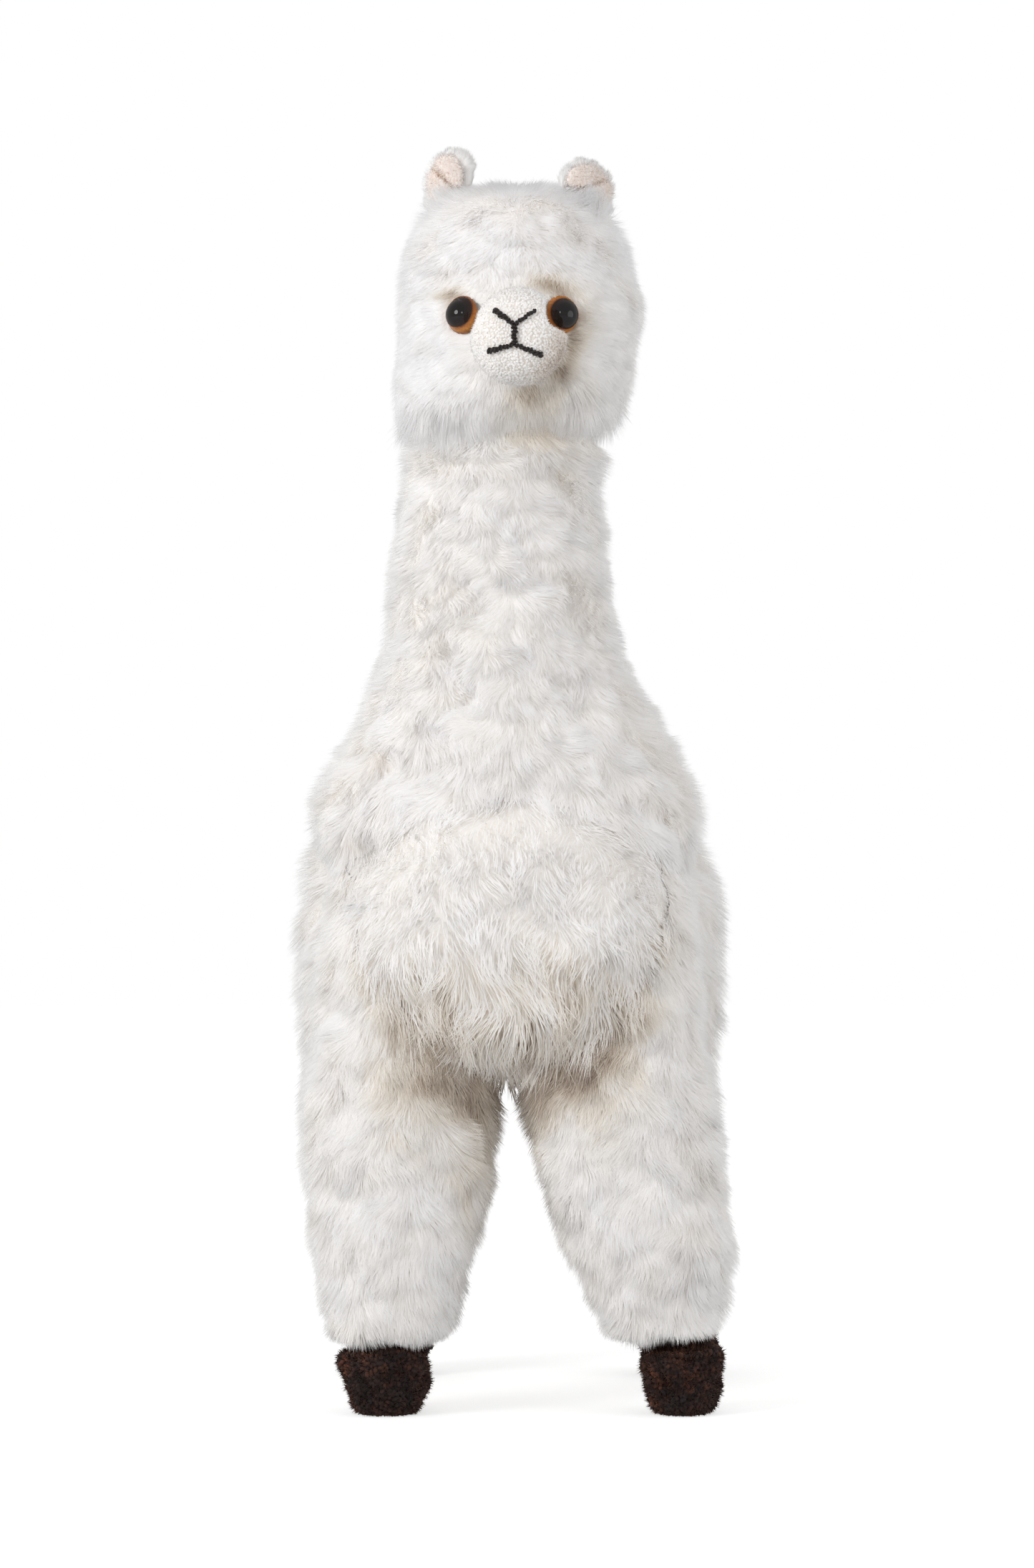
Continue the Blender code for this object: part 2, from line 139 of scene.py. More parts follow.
def even_skin(node_names, voxel):
    """One closed, evenly meshed skin over some solids: its points, triangles and edges."""
    points = []
    faces = []
    for node_name in node_names:
        start = len(points)
        points.extend(curled_ear(node_name, solid_points(node_name)).tolist())
        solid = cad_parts[node_name].data
        faces.extend([start + index for index in face.vertices] for face in solid.polygons)
    data = bpy.data.meshes.new("skin")
    data.from_pydata(points, [], faces)
    holder = placed("skin", data)
    remesh = holder.modifiers.new("even", "REMESH")
    remesh.mode = "VOXEL"
    remesh.voxel_size = voxel
    graph = bpy.context.evaluated_depsgraph_get()
    made = bpy.data.meshes.new_from_object(holder.evaluated_get(graph))
    made.calc_loop_triangles()
    skin = read_all(made.vertices, "co", 3)
    triangles = read_all(made.loop_triangles, "vertices", 3, np.int64)
    edges = read_all(made.edges, "vertices", 2, np.int64)
    bpy.data.objects.remove(holder)
    bpy.data.meshes.remove(data)
    bpy.data.meshes.remove(made)
    return skin, triangles, edges


outline_points, outline_triangles, outline_edges = even_skin(FLEECE_NODES, OUTLINE_VOXEL)
outline_points = relaxed(outline_points, outline_edges, 2)
outline_normals = vertex_normals(outline_points, outline_triangles)
outline_normals = unit(relaxed(outline_normals, outline_edges, 3))
outline_tree = BVHTree.FromPolygons(outline_points.tolist(), outline_triangles.tolist())


def under_outline(points):
    """How deep points lie under the coat's outline, and the way straight out of it."""
    places = np.empty_like(points)
    faces = np.empty(len(points), np.int64)
    for index, point in enumerate(points.tolist()):
        place, _, face, _ = outline_tree.find_nearest(point)
        places[index] = place
        faces[index] = face
    corners = outline_triangles[faces]
    away = outline_points[corners] - places[:, None, :]
    weights = 1 / (np.linalg.norm(away, axis=2) + 0.5 * MM)
    outward = unit((outline_normals[corners] * weights[:, :, None]).sum(axis=1))
    inwards = places - points
    depth = np.where((inwards * outward).sum(axis=1) > 0, np.linalg.norm(inwards, axis=1), 0)
    return depth, outward


# Fleece
# Deep-pile plush: fine crimped fibres stand on a knitted backing and gather in small tufts.
# It is brushed, so tips are white and soft and the cream backing only shows in the partings.
UV_NAME = "OFBake"
# The corners of a fibre or a curl differ a little in U, and tones keep clear of the map's edges.
UV_SPREAD = 0.004
TONE_RANGE = (0.02, 0.97)


def linear(hex_color):
    """An sRGB hex colour as the linear RGBA that the shaders take."""
    parts = (int(hex_color[index:index + 2], 16) / 255 for index in (1, 3, 5))
    return tuple(c / 12.92 if c <= 0.04045 else ((c + 0.055) / 1.055) ** 2.4 for c in parts) + (1,)


def set_stops(elements, stops):
    while len(elements) < len(stops):
        elements.new(0.5)
    for element, (position, color) in zip(elements, stops):
        element.position = position
        element.color = linear(color)


def join(source, socket):
    socket.id_data.links.new(getattr(source, "outputs", [source])[0], socket)


def add_node(material, kind, settings=None, links=None):
    """Adds one shader node; settings and links go by property or socket name, or socket index.

    The stops of a colour ramp are (position, hex colour) pairs. A link comes from an output, or
    from a node's first one.
    """
    node = material.node_tree.nodes.new(kind)
    for name, value in (settings or {}).items():
        if name == "stops":
            set_stops(node.color_ramp.elements, value)
        elif isinstance(name, int) or name in node.inputs:
            node.inputs[name].default_value = value
        else:
            setattr(node, name, value)
    for name, source in (links or {}).items():
        join(source, node.inputs[name])
    return node


def new_material(name, settings):
    """A material with one Principled shader that has these settings; returns both."""
    material = bpy.data.materials.new(name)
    material.use_nodes = True
    shader = material.node_tree.nodes["Principled BSDF"]
    for socket, value in settings.items():
        shader.inputs[socket].default_value = value
    return material, shader


def multiplied(material, first, second):
    """The product of two colours."""
    return add_node(
        material, "ShaderNodeMix",
        {"data_type": "RGBA", "blend_type": "MULTIPLY", 0: 1.0},
        {6: first, 7: second},
    ).outputs[2]


def light_through(material, shader, color, share):
    """Lights a pile alike on both sides, and lets a share of the lamps' light pass through it."""
    shadow_ray = add_node(material, "ShaderNodeLightPath").outputs["Is Shadow Ray"]
    passing = add_node(material, "ShaderNodeMath", {"operation": "MULTIPLY", 1: share}, {0: shadow_ray})
    behind = add_node(material, "ShaderNodeNewGeometry").outputs["Backfacing"]
    back = add_node(material, "ShaderNodeBsdfTranslucent", links={"Color": color})
    fibre = add_node(material, "ShaderNodeMixShader", links={0: behind, 1: shader, 2: back})
    clear = add_node(material, "ShaderNodeBsdfTransparent")
    whole = add_node(material, "ShaderNodeMixShader", links={0: passing, 1: fibre, 2: clear})
    join(whole, material.node_tree.nodes["Material Output"].inputs["Surface"])


def pile_material(
    name, tone_stops, root_tint_and_shade_stops, roughness, specular, sheen, sheen_roughness,
    sheen_tint="#FFFFFF", see_through=None,
):
    """Pile coloured by its own places: U runs from dark to light fibres, V from root to tip."""
    material, shader = new_material(name, {
        "Roughness": roughness,
        "Specular IOR Level": specular,
        "Sheen Weight": sheen,
        "Sheen Roughness": sheen_roughness,
        "Sheen Tint": linear(sheen_tint),
    })
    place = add_node(material, "ShaderNodeUVMap", {"uv_map": UV_NAME})
    axes = add_node(material, "ShaderNodeSeparateXYZ", links={"Vector": place})
    tones = add_node(material, "ShaderNodeValToRGB", {"stops": tone_stops}, {"Fac": axes.outputs["X"]})
    # V darkens towards the roots: partly the backing's own colour, partly painted shade deep in the pile.
    root_tints_and_shade = add_node(material, "ShaderNodeValToRGB", {"stops": root_tint_and_shade_stops}, {"Fac": axes.outputs["Y"]})
    color = multiplied(material, tones, root_tints_and_shade)
    join(color, shader.inputs["Base Color"])
    if see_through is not None:
        light_through(material, shader, color, see_through)
    return material


# Lamp light passes partly through the fibres, so the coat shades softly all through.
fleece = pile_material(
    "acrylic_fleece_brushed",
    # The darkest tones are the colours of the painted shade: under the skirt, round the eyes and the muzzle.
    ((0.0, "#8E7B6E"), (0.15, "#C8BCAE"), (0.4, "#E9E3DA"), (0.65, "#F8F6F4"), (1.0, "#FBFBFC")),
    ((0.0, "#F3F0EC"), (0.4, "#FAF9F8"), (0.8, "#FEFEFE"), (1.0, "#FFFFFF")),
    roughness=0.72, specular=0.25, sheen=0.35, sheen_roughness=0.55, see_through=0.4,
)


def finished_piece(name, mesh, material, node_name):
    """Puts a mesh in the scene as the dressed form of its solid."""
    piece = placed(name, mesh)
    mesh.materials.append(material)
    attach(piece, "root")
    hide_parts(node_name)


def triangle_mesh(name, points, triangles, normals, uvs=None):
    """A smooth mesh of triangles with its own normals, and a UV pair for each corner."""
    mesh = bpy.data.meshes.new(name)
    mesh.vertices.add(len(points))
    mesh.vertices.foreach_set("co", np.ascontiguousarray(points, np.float32).ravel())
    mesh.loops.add(len(triangles) * 3)
    mesh.loops.foreach_set("vertex_index", np.ascontiguousarray(triangles, np.int32).ravel())
    mesh.polygons.add(len(triangles))
    mesh.polygons.foreach_set("loop_start", np.arange(0, len(triangles) * 3, 3, dtype=np.int32))
    mesh.update(calc_edges=True)
    mesh.shade_smooth()
    if uvs is not None:
        layer = mesh.uv_layers.new(name=UV_NAME)
        layer.uv.foreach_set("vector", np.ascontiguousarray(uvs, np.float32).ravel())
    mesh.normals_split_custom_set_from_vertices(normals.tolist())
    return mesh


def weighted_areas(points, triangles, weights):
    return np.linalg.norm(triangle_crosses(points, triangles), axis=1) / 2 * weights


def sampled(points, triangles, weights, count, draw):
    """Random places on triangles, more where the weight is higher: faces and shares of corners."""
    chance = weighted_areas(points, triangles, weights)
    faces = draw.choice(len(triangles), count, p=chance / chance.sum())
    along = np.sqrt(draw.random(count))
    across = draw.random(count)
    shares = np.stack((1 - along, along * (1 - across), along * across), axis=1)
    return faces, shares


def mixed(values, triangles, faces, shares):
    return (values[triangles[faces]] * shares[:, :, None]).sum(axis=1)


def turned_about(vectors, axes, angles):
    cosine = np.cos(angles)[:, None]
    sine = np.sin(angles)[:, None]
    along = (vectors * axes).sum(axis=1, keepdims=True)
    return vectors * cosine + np.cross(axes, vectors) * sine + axes * along * (1 - cosine)


def tone_and_shade_of(points):
    """How white the fleece is at a place, from beige at 0 to white at 1, with spots of painted shade."""
    tone = 0.78 + 0.04 * soft_noise(points, 38 * MM, 11) + 0.04 * soft_noise(points, 15 * MM, 12)
    # Painted shade in warmer, darker spots round both eyes under the brow, beside and under the muzzle
    # and under the jaw, and a darker spot low on the neck: the place and the reach in mm, and how
    # much darker.
    for place, reach, strength in (
        ((-12, -110, 310), (10, 20, 16), 0.20),
        ((-22, -112, 441.5), (6.5, 16, 3.2), 0.62),
        ((14, -115, 446), (8, 16, 4.2), 0.48),
        ((20, -112, 442), (6.5, 14, 3.6), 0.52),
        ((29, -108, 433), (4, 14, 9), 0.35),
        ((23, -112, 424), (4, 14, 9), 0.62),
        ((19, -112, 411), (6, 14, 6), 0.68),
        ((8, -112, 403), (9, 14, 5), 0.50),
        ((6, -115, 390), (24, 20, 7), 0.30),
        ((12, -95, 388), (20, 60, 7), 0.34),
    ):
        away = (points - np.array(place) * MM) / (np.array(reach) * MM)
        tone = tone - strength * np.exp(-(away ** 2).sum(axis=1))
    return tone


def fibre_paths(roots, normals, outward, flow, length, lean, swirl, draw):
    """Middle and tip of fibres that rise from their roots and lean over the way they are brushed."""
    count = len(roots)
    down = unit(flow - outward * (flow * outward).sum(axis=1, keepdims=True))
    swing = swirl * soft_noise(roots, 17 * MM, 31) + draw.normal(0, 0.25, count)
    down = turned_about(down, outward, swing)
    tilt = np.clip(lean + 0.10 * soft_noise(roots, 14 * MM, 32) + draw.normal(0, 0.10, count), 0.5, 1.35)
    low = np.clip(tilt - 0.28, 0, 1.4)[:, None]
    high = np.clip(tilt + 0.28, 0, 1.5)[:, None]
    middle = roots + (normals * np.cos(low) + down * np.sin(low)) * length[:, None] * 0.5
    tip = middle + (normals * np.cos(high) + down * np.sin(high)) * length[:, None] * 0.5
    return middle, tip


def grow_fleece(
    node_name, seed, inset, length, lean, flow, budget, tuft, gather, swirl, fibre,
    bent=True, keep_off=None, skin_voxel=3.2 * MM, whiteness_and_shade=tone_and_shade_of, lumpy=1.0,
):
    """One fleece pouch: its backing, set under the outline by the pile, and the fibres on it."""
    draw = np.random.default_rng(seed)
    points, triangles, edges = even_skin((node_name,), skin_voxel)
    points = relaxed(points, edges, 1)
    depth, outward = under_outline(points)
    lumps = 0.24 * soft_noise(points, 30 * MM, 21) + 0.09 * soft_noise(points, 13 * MM, 22)
    pile = inset(points) * (1 + lumpy * lumps)
    buried = np.clip(1 - depth / (2 * pile), 0, 1)
    backing = points - outward * (pile * buried ** 2)[:, None]
    backing_normals = vertex_normals(backing, triangles)
    # The fleece's tone with its painted shade, for the backing here and for the fibres below.
    skin_tone = whiteness_and_shade(backing)

    covered = (buried[triangles] > 0.5).all(axis=1).astype(float)
    per_strand = 3 if bent else 1
    count = (budget - len(triangles)) // per_strand
    faces, shares = sampled(backing, triangles, covered, count, draw)
    roots = mixed(backing, triangles, faces, shares)
    normals = unit(mixed(backing_normals, triangles, faces, shares))
    out = unit(mixed(outward, triangles, faces, shares))
    reach = length(roots) * draw.uniform(0.72, 1.15, count)
    rising = unit(out + 0.5 * normals)
    middle, tip = fibre_paths(roots, rising, out, flow(roots), reach, lean(roots), swirl, draw)

    # Fibres lean to the nearest guide among them, so they gather in tufts, and each tuft curls.
    guide_count = max(12, int(weighted_areas(backing, triangles, covered).sum() / (tuft * tuft)))
    guides = draw.choice(count, guide_count, replace=False)
    tree = KDTree(guide_count)
    for index, place in enumerate(roots[guides].tolist()):
        tree.insert(place, index)
    tree.balance()
    nearest = guides[np.array([tree.find(place)[1] for place in roots.tolist()])]
    pull = (gather * draw.uniform(0.45, 1.25, count)[nearest])[:, None]
    from_guide = roots - roots[nearest]
    pull = pull * bump(np.linalg.norm(from_guide, axis=1, keepdims=True), 0, 1.1 * tuft)
    curl = turned_about(np.cross(out, unit(tip - roots)), out, draw.uniform(-0.8, 0.8, count))[nearest]
    curl = curl * (draw.uniform(-1, 1, count)[nearest] * reach * 0.20)[:, None]
    middle = middle + 0.45 * pull * (middle[nearest] + from_guide * 0.55 - middle) + curl * 0.5 * pull
    tip = tip + pull * (tip[nearest] + from_guide * 0.18 - tip) - curl * pull

    # The underside of a pouch's rim, where it lies on its neighbour, has no fibres.
    kept = (normals * out).sum(axis=1) > 0.2
    if keep_off is not None:
        roots, middle, tip, clear = keep_off(roots, middle, tip)
        kept &= clear

    facing = unit(np.cross(unit(tip - roots), out) + 1e-9)
    facing = turned_about(facing, unit(tip - roots), draw.normal(0, 0.25, count))
    half = (fibre * draw.uniform(0.35, 0.65, count))[:, None]
    flat = unit(np.cross(facing, tip - roots))
    round_tuft = from_guide / (0.62 * tuft)
    uneven = draw.normal(0, 0.05, (count, 3))
    shade = unit(normals * 0.5 + out * 0.5 + flat * 0.12 + round_tuft * 0.18 + uneven)
    tone = whiteness_and_shade(roots) + draw.normal(0, 0.06, count) + 0.03 * draw.normal(0, 1, count)[nearest]
    tone = np.clip(tone, *TONE_RANGE)
    roots, middle, tip, facing, half, shade, tone = (
        values[kept] for values in (roots, middle, tip, facing, half, shade, tone)
    )
    count = len(roots)
    sideways = facing * half
    if bent:
        narrower = sideways * 0.85
        rows = (roots - sideways, roots + sideways, middle - narrower, middle + narrower, tip)
        order = np.array(((0, 1, 3), (0, 3, 2), (2, 3, 4)))
        heights = np.array((0.04, 0.04, 0.5, 0.5, 0.96))
        sides = np.array((-1, 1, -1, 1, 0)) * UV_SPREAD
    else:
        rows = (roots - sideways, roots + sideways, tip)
        order = np.array(((0, 1, 2),))
        heights = np.array((0.10, 0.10, 0.96))
        sides = np.array((-1, 1, 0)) * UV_SPREAD
    size = len(rows)
    first = (np.arange(count) * size)[:, None, None]
    strand_triangles = (first + order[None]).reshape(-1, 3)
    strand_uvs = np.stack((
        (tone[:, None] + sides[None])[:, order.ravel()],
        np.broadcast_to(heights[order.ravel()], (count, order.size)),
    ), axis=2).reshape(-1, 2)

    face_tones = np.clip(skin_tone[triangles].mean(axis=1), *TONE_RANGE)
    skin_uvs = np.stack((
        np.repeat(face_tones, 3) + np.tile((-UV_SPREAD, UV_SPREAD, 0.0), len(triangles)),
        np.tile((0.02, 0.02, 0.05), len(triangles)),
    ), axis=1)
    mesh = triangle_mesh(
        node_name + "_fleece",
        np.concatenate((backing, np.stack(rows, axis=1).reshape(-1, 3))),
        np.concatenate((triangles, strand_triangles + len(backing))),
        np.concatenate((backing_normals, np.repeat(shade, size, axis=0))),
        np.concatenate((skin_uvs, strand_uvs)),
    )
    finished_piece(node_name + "_fleece", mesh, fleece, node_name)


# Torso
# The stuffed barrel of the body. Its front is a lobe that hangs over the legs, with a parting
# across the chest and a long combed skirt of fleece along its lower edge.
def chest_parting(points):
    x, y, z = points.T
    wobble = 1.6 * MM * soft_noise(points, 20 * MM, 41)
    left = bump(z, 0.2458 + wobble, 2.4 * MM) * ramp(x, -0.044, -0.034) * ramp(x, 0.012, 0.002)
    right = bump(z, 0.2352 + wobble, 2.4 * MM) * ramp(x, 0.002, 0.012) * ramp(x, 0.046, 0.034)
    return (left + 0.8 * right) * ramp(y, -0.07, -0.085)


def skirt(points):
    """1 along the lower front of the chest, where the fleece is longest and is painted in shade."""
    x, y, z = points.T
    return ramp(z, 0.205, 0.150) * ramp(y, -0.045, -0.075)


def torso_inset(points):
    return 6.0 * MM + 1.2 * MM * skirt(points) + 1.5 * MM * chest_parting(points)


def torso_length(points):
    return 10.5 * MM + 11.5 * MM * skirt(points) - 2 * MM * chest_parting(points)


def torso_lean(points):
    return 0.85 + 0.28 * skirt(points)


def torso_flow(points):
    flow = np.zeros_like(points)
    flow[:, 1] = 0.7 * ramp(points[:, 1], -0.10, -0.02)
    flow[:, 2] = -1
    return flow


def torso_tone_and_shade(points):
    """The skirt is painted darker as painted shade where its fleece faces down, some locks darker than
    others.
    """
    locks = ramp(soft_noise(points * np.array((1, 1, 0.25)), 13 * MM, 45), 0.1, 0.9)
    return tone_and_shade_of(points) - (0.34 + 0.30 * locks) * skirt(points)


grow_fleece(
    "torso", 1, torso_inset, torso_length, torso_lean, torso_flow,
    budget=158000, tuft=9 * MM, gather=0.30, swirl=0.5, fibre=0.44 * MM,
    skin_voxel=3.8 * MM, whiteness_and_shade=torso_tone_and_shade, lumpy=0.8,
)

# Neck
# A fleece tube with a flared base that sits on the front of the back. Its pile is shorter
# and curls into small tight tufts.
def neck_inset(points):
    x, y, z = points.T
    crease = bump(z, 0.3277 + 3 * MM * soft_noise(points, 45 * MM, 42), 3 * MM)
    slim = 2.4 * MM * bump(z, 0.376, 0.010) * ramp(x, 0.0, -0.035)
    wide = 4.8 * MM * ramp(z, 0.374, 0.384) * ramp(x, -0.030, 0.030)
    flare = 2.4 * MM * bump(z, 0.325, 0.014) * (0.6 + 0.4 * ramp(x, -0.01, 0.01))
    flare += 2.6 * MM * bump(z, 0.278, 0.020) * ramp(x, 0.020, 0.040)
    flare = flare * ramp(np.abs(x), 0.024, 0.040)
    shoulder = 2.6 * MM * bump(z, 0.248, 0.016) * ramp(x, -0.048, -0.062)
    return 5.2 * MM + 1.2 * MM * crease + slim - wide - shoulder - flare


def neck_length(points):
    z = points[:, 2]
    return (7.6 + 3.4 * ramp(z, 0.310, 0.260) + 1.5 * ramp(z, 0.360, 0.380)) * MM


def neck_lean(points):
    z = points[:, 2]
    return 0.72 + 0.15 * ramp(z, 0.310, 0.260) - 0.12 * ramp(z, 0.360, 0.380)


def brushed(way):
    """The flow of a pile that is brushed the same way all over."""
    return lambda points: np.tile(np.array(way, float), (len(points), 1))


down_flow = brushed((0, 0, -1))


grow_fleece(
    "neck", 2, neck_inset, neck_length, neck_lean, down_flow,
    budget=118000, tuft=6.5 * MM, gather=0.30, swirl=0.8, fibre=0.38 * MM, bent=False, lumpy=0.8,
)

# Head
# A rounded fleece pouch with a fluffy crown. The pile is clipped around the eyes and the
# muzzle, and the brow hangs a little over the eyes.
def box_middle(node_name):
    low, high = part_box(node_name)
    return np.array((low + high) / 2)


eye_places = {side: box_middle("eye_" + side) for side in ("left", "right")}
muzzle_points, muzzle_triangles, muzzle_edges = even_skin(("muzzle",), 0.9 * MM)
muzzle_middle = box_middle("muzzle")
# Stuffing has sunk to the chin, so the ball is a little narrower between the eyes.
muzzle_rise = ramp(muzzle_points[:, 2] - muzzle_middle[2], -2 * MM, 17 * MM)
muzzle_points[:, 0] -= 0.06 * muzzle_rise * (muzzle_points[:, 0] - muzzle_middle[0])
# It dents where an eye presses into it.
for side, sign, half_width in (("left", 1, 5.6 * MM), ("right", -1, 4.6 * MM)):
    above = (muzzle_points[:, 2] - eye_places[side][2]) / (9.0 * MM)
    edge = sign * eye_places[side][0] - half_width * np.sqrt(np.clip(1 - above ** 2, 0, 1))
    beyond = np.maximum(sign * muzzle_points[:, 0] - edge, 0) * (np.abs(above) < 1)
    muzzle_points[:, 0] -= sign * beyond * ramp(np.abs(above), 1.0, 0.7)
muzzle_points = relaxed(muzzle_points, muzzle_edges, 2)
muzzle_tree = BVHTree.FromPolygons(muzzle_points.tolist(), muzzle_triangles.tolist())
head_middle = box_middle("head")
EYE_CLEAR = 7.6 * MM


def near_face(points):
    """1 beside an eye or the muzzle's root, 0 from 20 mm away."""
    close = np.zeros(len(points))
    for place in eye_places.values():
        close = np.maximum(close, ramp(np.linalg.norm(points - place, axis=1), 20 * MM, 9 * MM))
    across = points - muzzle_middle
    ring = np.hypot(across[:, 0], across[:, 2])
    close = np.maximum(close, ramp(ring, 32 * MM, 20 * MM) * ramp(points[:, 1], -0.085, -0.10))
    return close


def sunk(points):
    """How many mm the filling has sunk in from the coat: the cheeks hang to the toy's right."""
    sideways = np.clip((points[:, 0] - head_middle[0]) / 0.034, -1, 1)
    z = points[:, 2]
    left = 2.0 * ramp(z, 0.420, 0.396) * ramp(z, 0.385, 0.395) - 2.2 * bump(z, 0.440, 0.012)
    right = 4.2 * ramp(z, 0.428, 0.400) * ramp(z, 0.386, 0.396)
    return np.maximum(sideways, 0) * left - np.maximum(-sideways, 0) * right


def head_inset(points):
    return (5.4 - 2.9 * near_face(points) + sunk(points)) * MM


def near_ear(points):
    """1 at the foot of an ear, where the crown's fleece stands up in front of the lining."""
    close = np.zeros(len(points))
    for side in ("left", "right"):
        low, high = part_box("ear_lining_" + side)
        foot = np.array(((low.x + high.x) / 2, low.y, low.z + 4 * MM))
        close = np.maximum(close, ramp(np.linalg.norm(points - foot, axis=1), 17 * MM, 8 * MM))
    return close


def head_length(points):
    """Longer on the crown and by the ears, and longest along the jaw, where it covers the neck."""
    z = points[:, 2]
    jaw = (8.0 + 3.0 * soft_noise(points, 9 * MM, 46)) * ramp(z, 0.405, 0.391)
    longer = 1.5 * ramp(z, 0.455, 0.475) + 3.5 * near_ear(points) + jaw
    left_jaw = 7.0 * ramp(points[:, 0], 0.014, 0.030) * ramp(z, 0.408, 0.396)
    return (7.4 + longer + left_jaw - 3.8 * near_face(points) - 0.3 * sunk(points)) * MM


def head_lean(points):
    z = points[:, 2]
    crown = 0.22 * ramp(z, 0.455, 0.480) * (1 - near_ear(points)) - 0.2 * near_ear(points)
    return 0.74 + crown + 0.1 * near_face(points) + 0.25 * ramp(z, 0.405, 0.390)


def head_tone_light_and_shade(points):
    """Whiter on the forehead; the left cheek, on the side the key lamp lights, is painted lighter as painted
    light.
    """
    forehead = ramp(points[:, 2], 0.447, 0.458)
    cheek = ramp(points[:, 0], -0.018, -0.034)
    return tone_and_shade_of(points) + 0.14 * np.maximum(forehead, cheek)


def head_flow(points):
    """Away from the muzzle on the cheeks, down over the brow, and outwards from the crown."""
    away = points - muzzle_middle
    away[:, 1] = 0
    crown = points - head_middle
    crown[:, 2] = 0
    low = ramp(points[:, 2], 0.412, 0.398)
    front = ramp(points[:, 1], -0.07, -0.10) * ramp(points[:, 2], 0.452, 0.430) * (1 - low)
    top = ramp(points[:, 2], 0.462, 0.480)
    fall = np.zeros_like(points)
    fall[:, 2] = 2.6 * near_ear(points) - 1
    outwards = 0.3 - 0.2 * low + 0.9 * top
    return unit(away) * 1.3 * front[:, None] + unit(crown) * outwards[:, None] + fall


def clear_of_face(roots, middle, tip):
    """Drops the fibres rooted under an eye or the muzzle, and clips those that would cover them."""
    kept = np.ones(len(roots), bool)
    scale = np.ones(len(roots))
    for place in eye_places.values():
        gap = roots - place
        kept &= np.linalg.norm(gap, axis=1) > EYE_CLEAR - 0.9 * MM
        for _ in range(4):
            ends = roots + (tip - roots) * scale[:, None]
            gap = ends - place
            reach = np.hypot(gap[:, 0], gap[:, 2])
            brow = 2.4 * MM * ramp(gap[:, 2], 1 * MM, 6 * MM)
            inside = (reach < EYE_CLEAR - brow - 0.3 * MM) & (ends[:, 1] < place[1] + 9 * MM)
            scale[inside] *= 0.62
    close = np.flatnonzero(np.linalg.norm(roots - muzzle_middle, axis=1) < 45 * MM)
    for index in close.tolist():
        place, normal, _, _ = muzzle_tree.find_nearest(roots[index])
        if (Vector(roots[index]) - place).dot(normal) < 0.3 * MM:
            kept[index] = False
            continue
        for _ in range(3):
            end = roots[index] + (tip[index] - roots[index]) * scale[index]
            place, normal, _, _ = muzzle_tree.find_nearest(end)
            if (Vector(end) - place).dot(normal) > 0.2 * MM:
                break
            scale[index] *= 0.6
    middle = roots + (middle - roots) * scale[:, None]
    tip = roots + (tip - roots) * scale[:, None]
    return roots, middle, tip, kept & (scale > 0.15)


grow_fleece(
    "head", 3, head_inset, head_length, head_lean, head_flow,
    budget=158000, tuft=6.0 * MM, gather=0.14, swirl=0.35, fibre=0.36 * MM, bent=False, lumpy=0.35,
    keep_off=clear_of_face, skin_voxel=2.4 * MM, whiteness_and_shade=head_tone_light_and_shade,
)

# Legs
# Four stuffed fleece tubes, combed down, that end in rounded cuffs above the hooves.
def leg_inset(points):
    x, y, z = points.T
    cuff = 2.6 * ramp(z, 0.058, 0.036) * ramp(x, 0.0, 0.02) - 2.0 * ramp(z, 0.045, 0.030)
    # Where the stuffing bulges or sinks at the outer sides, by height.
    right = 2.4 * bump(z, 0.118, 0.018) + 2.6 * bump(z, 0.226, 0.010) - 3.0 * bump(z, 0.203, 0.008)
    left = 2.8 * bump(z, 0.068, 0.012)
    return (5.8 + cuff - right * ramp(x, -0.045, -0.062) - left * ramp(x, 0.050, 0.066)) * MM


def leg_length(points):
    cuff = ramp(points[:, 2], 0.045, 0.030)
    return (11.0 - 4.0 * cuff * (1 - 0.6 * soft_noise(points, 16 * MM, 43))) * MM


def leg_lean(points):
    return 0.92 - 0.2 * ramp(points[:, 2], 0.045, 0.030)


def leg_tone_and_shade(points):
    """Painted shade: beige where the skirt shades the legs, and a little on their inner and upper parts."""
    x, y, z = points.T
    edge = 0.133 + 0.42 * np.abs(x + 0.006) + 3 * MM * soft_noise(points, 12 * MM, 44)
    under = ramp(z, edge - 26 * MM, edge - 4 * MM) * ramp(y, -0.05, -0.08)
    under = under * ramp(np.abs(x - 0.004), 0.060, 0.032)
    inner = ramp(np.abs(x + 0.003), 0.030, 0.008) * ramp(z, 0.050, 0.090)
    upper = ramp(z, 0.085, 0.135) * ramp(np.abs(x), 0.062, 0.046)
    shaded = (0.42 + 0.05 * ramp(x, -0.01, 0.01)) * under + 0.22 * inner * (1 - under)
    return tone_and_shade_of(points) - 0.04 - 0.20 * upper - shaded


for place, (node_name, budget) in enumerate((
    ("front_leg_left", 87000), ("front_leg_right", 87000),
    ("rear_leg_left", 44000), ("rear_leg_right", 44000),
)):
    grow_fleece(
        node_name, 4 + place, leg_inset, leg_length, leg_lean, down_flow,
        budget=budget, tuft=8 * MM, gather=0.19, swirl=0.6, fibre=0.44 * MM, bent=False,
        whiteness_and_shade=leg_tone_and_shade, lumpy=0.5,
    )

# Tail
# A small hanging tuft of the same fleece, sewn to the rump.
grow_fleece(
    "tail", 8, leg_inset, leg_length, leg_lean, down_flow,
    budget=12000, tuft=8 * MM, gather=0.4, swirl=0.6, fibre=0.6 * MM,
)


# Ears
# Fleece backs, folded once round a lining of short pile.
def everywhere(value):
    """A measure of the pile that is the same all over a pouch."""
    return lambda points: np.full(len(points), value)


for place, side in enumerate(("left", "right")):
    grow_fleece(
        "ear_" + side, 9 + place,
        everywhere(2.9 * MM), everywhere(6.0 * MM), everywhere(0.6), brushed((0, 0, 1)),
        budget=20000, tuft=4 * MM, gather=0.34, swirl=0.8, fibre=0.42 * MM,
        bent=False, skin_voxel=1.6 * MM,
    )
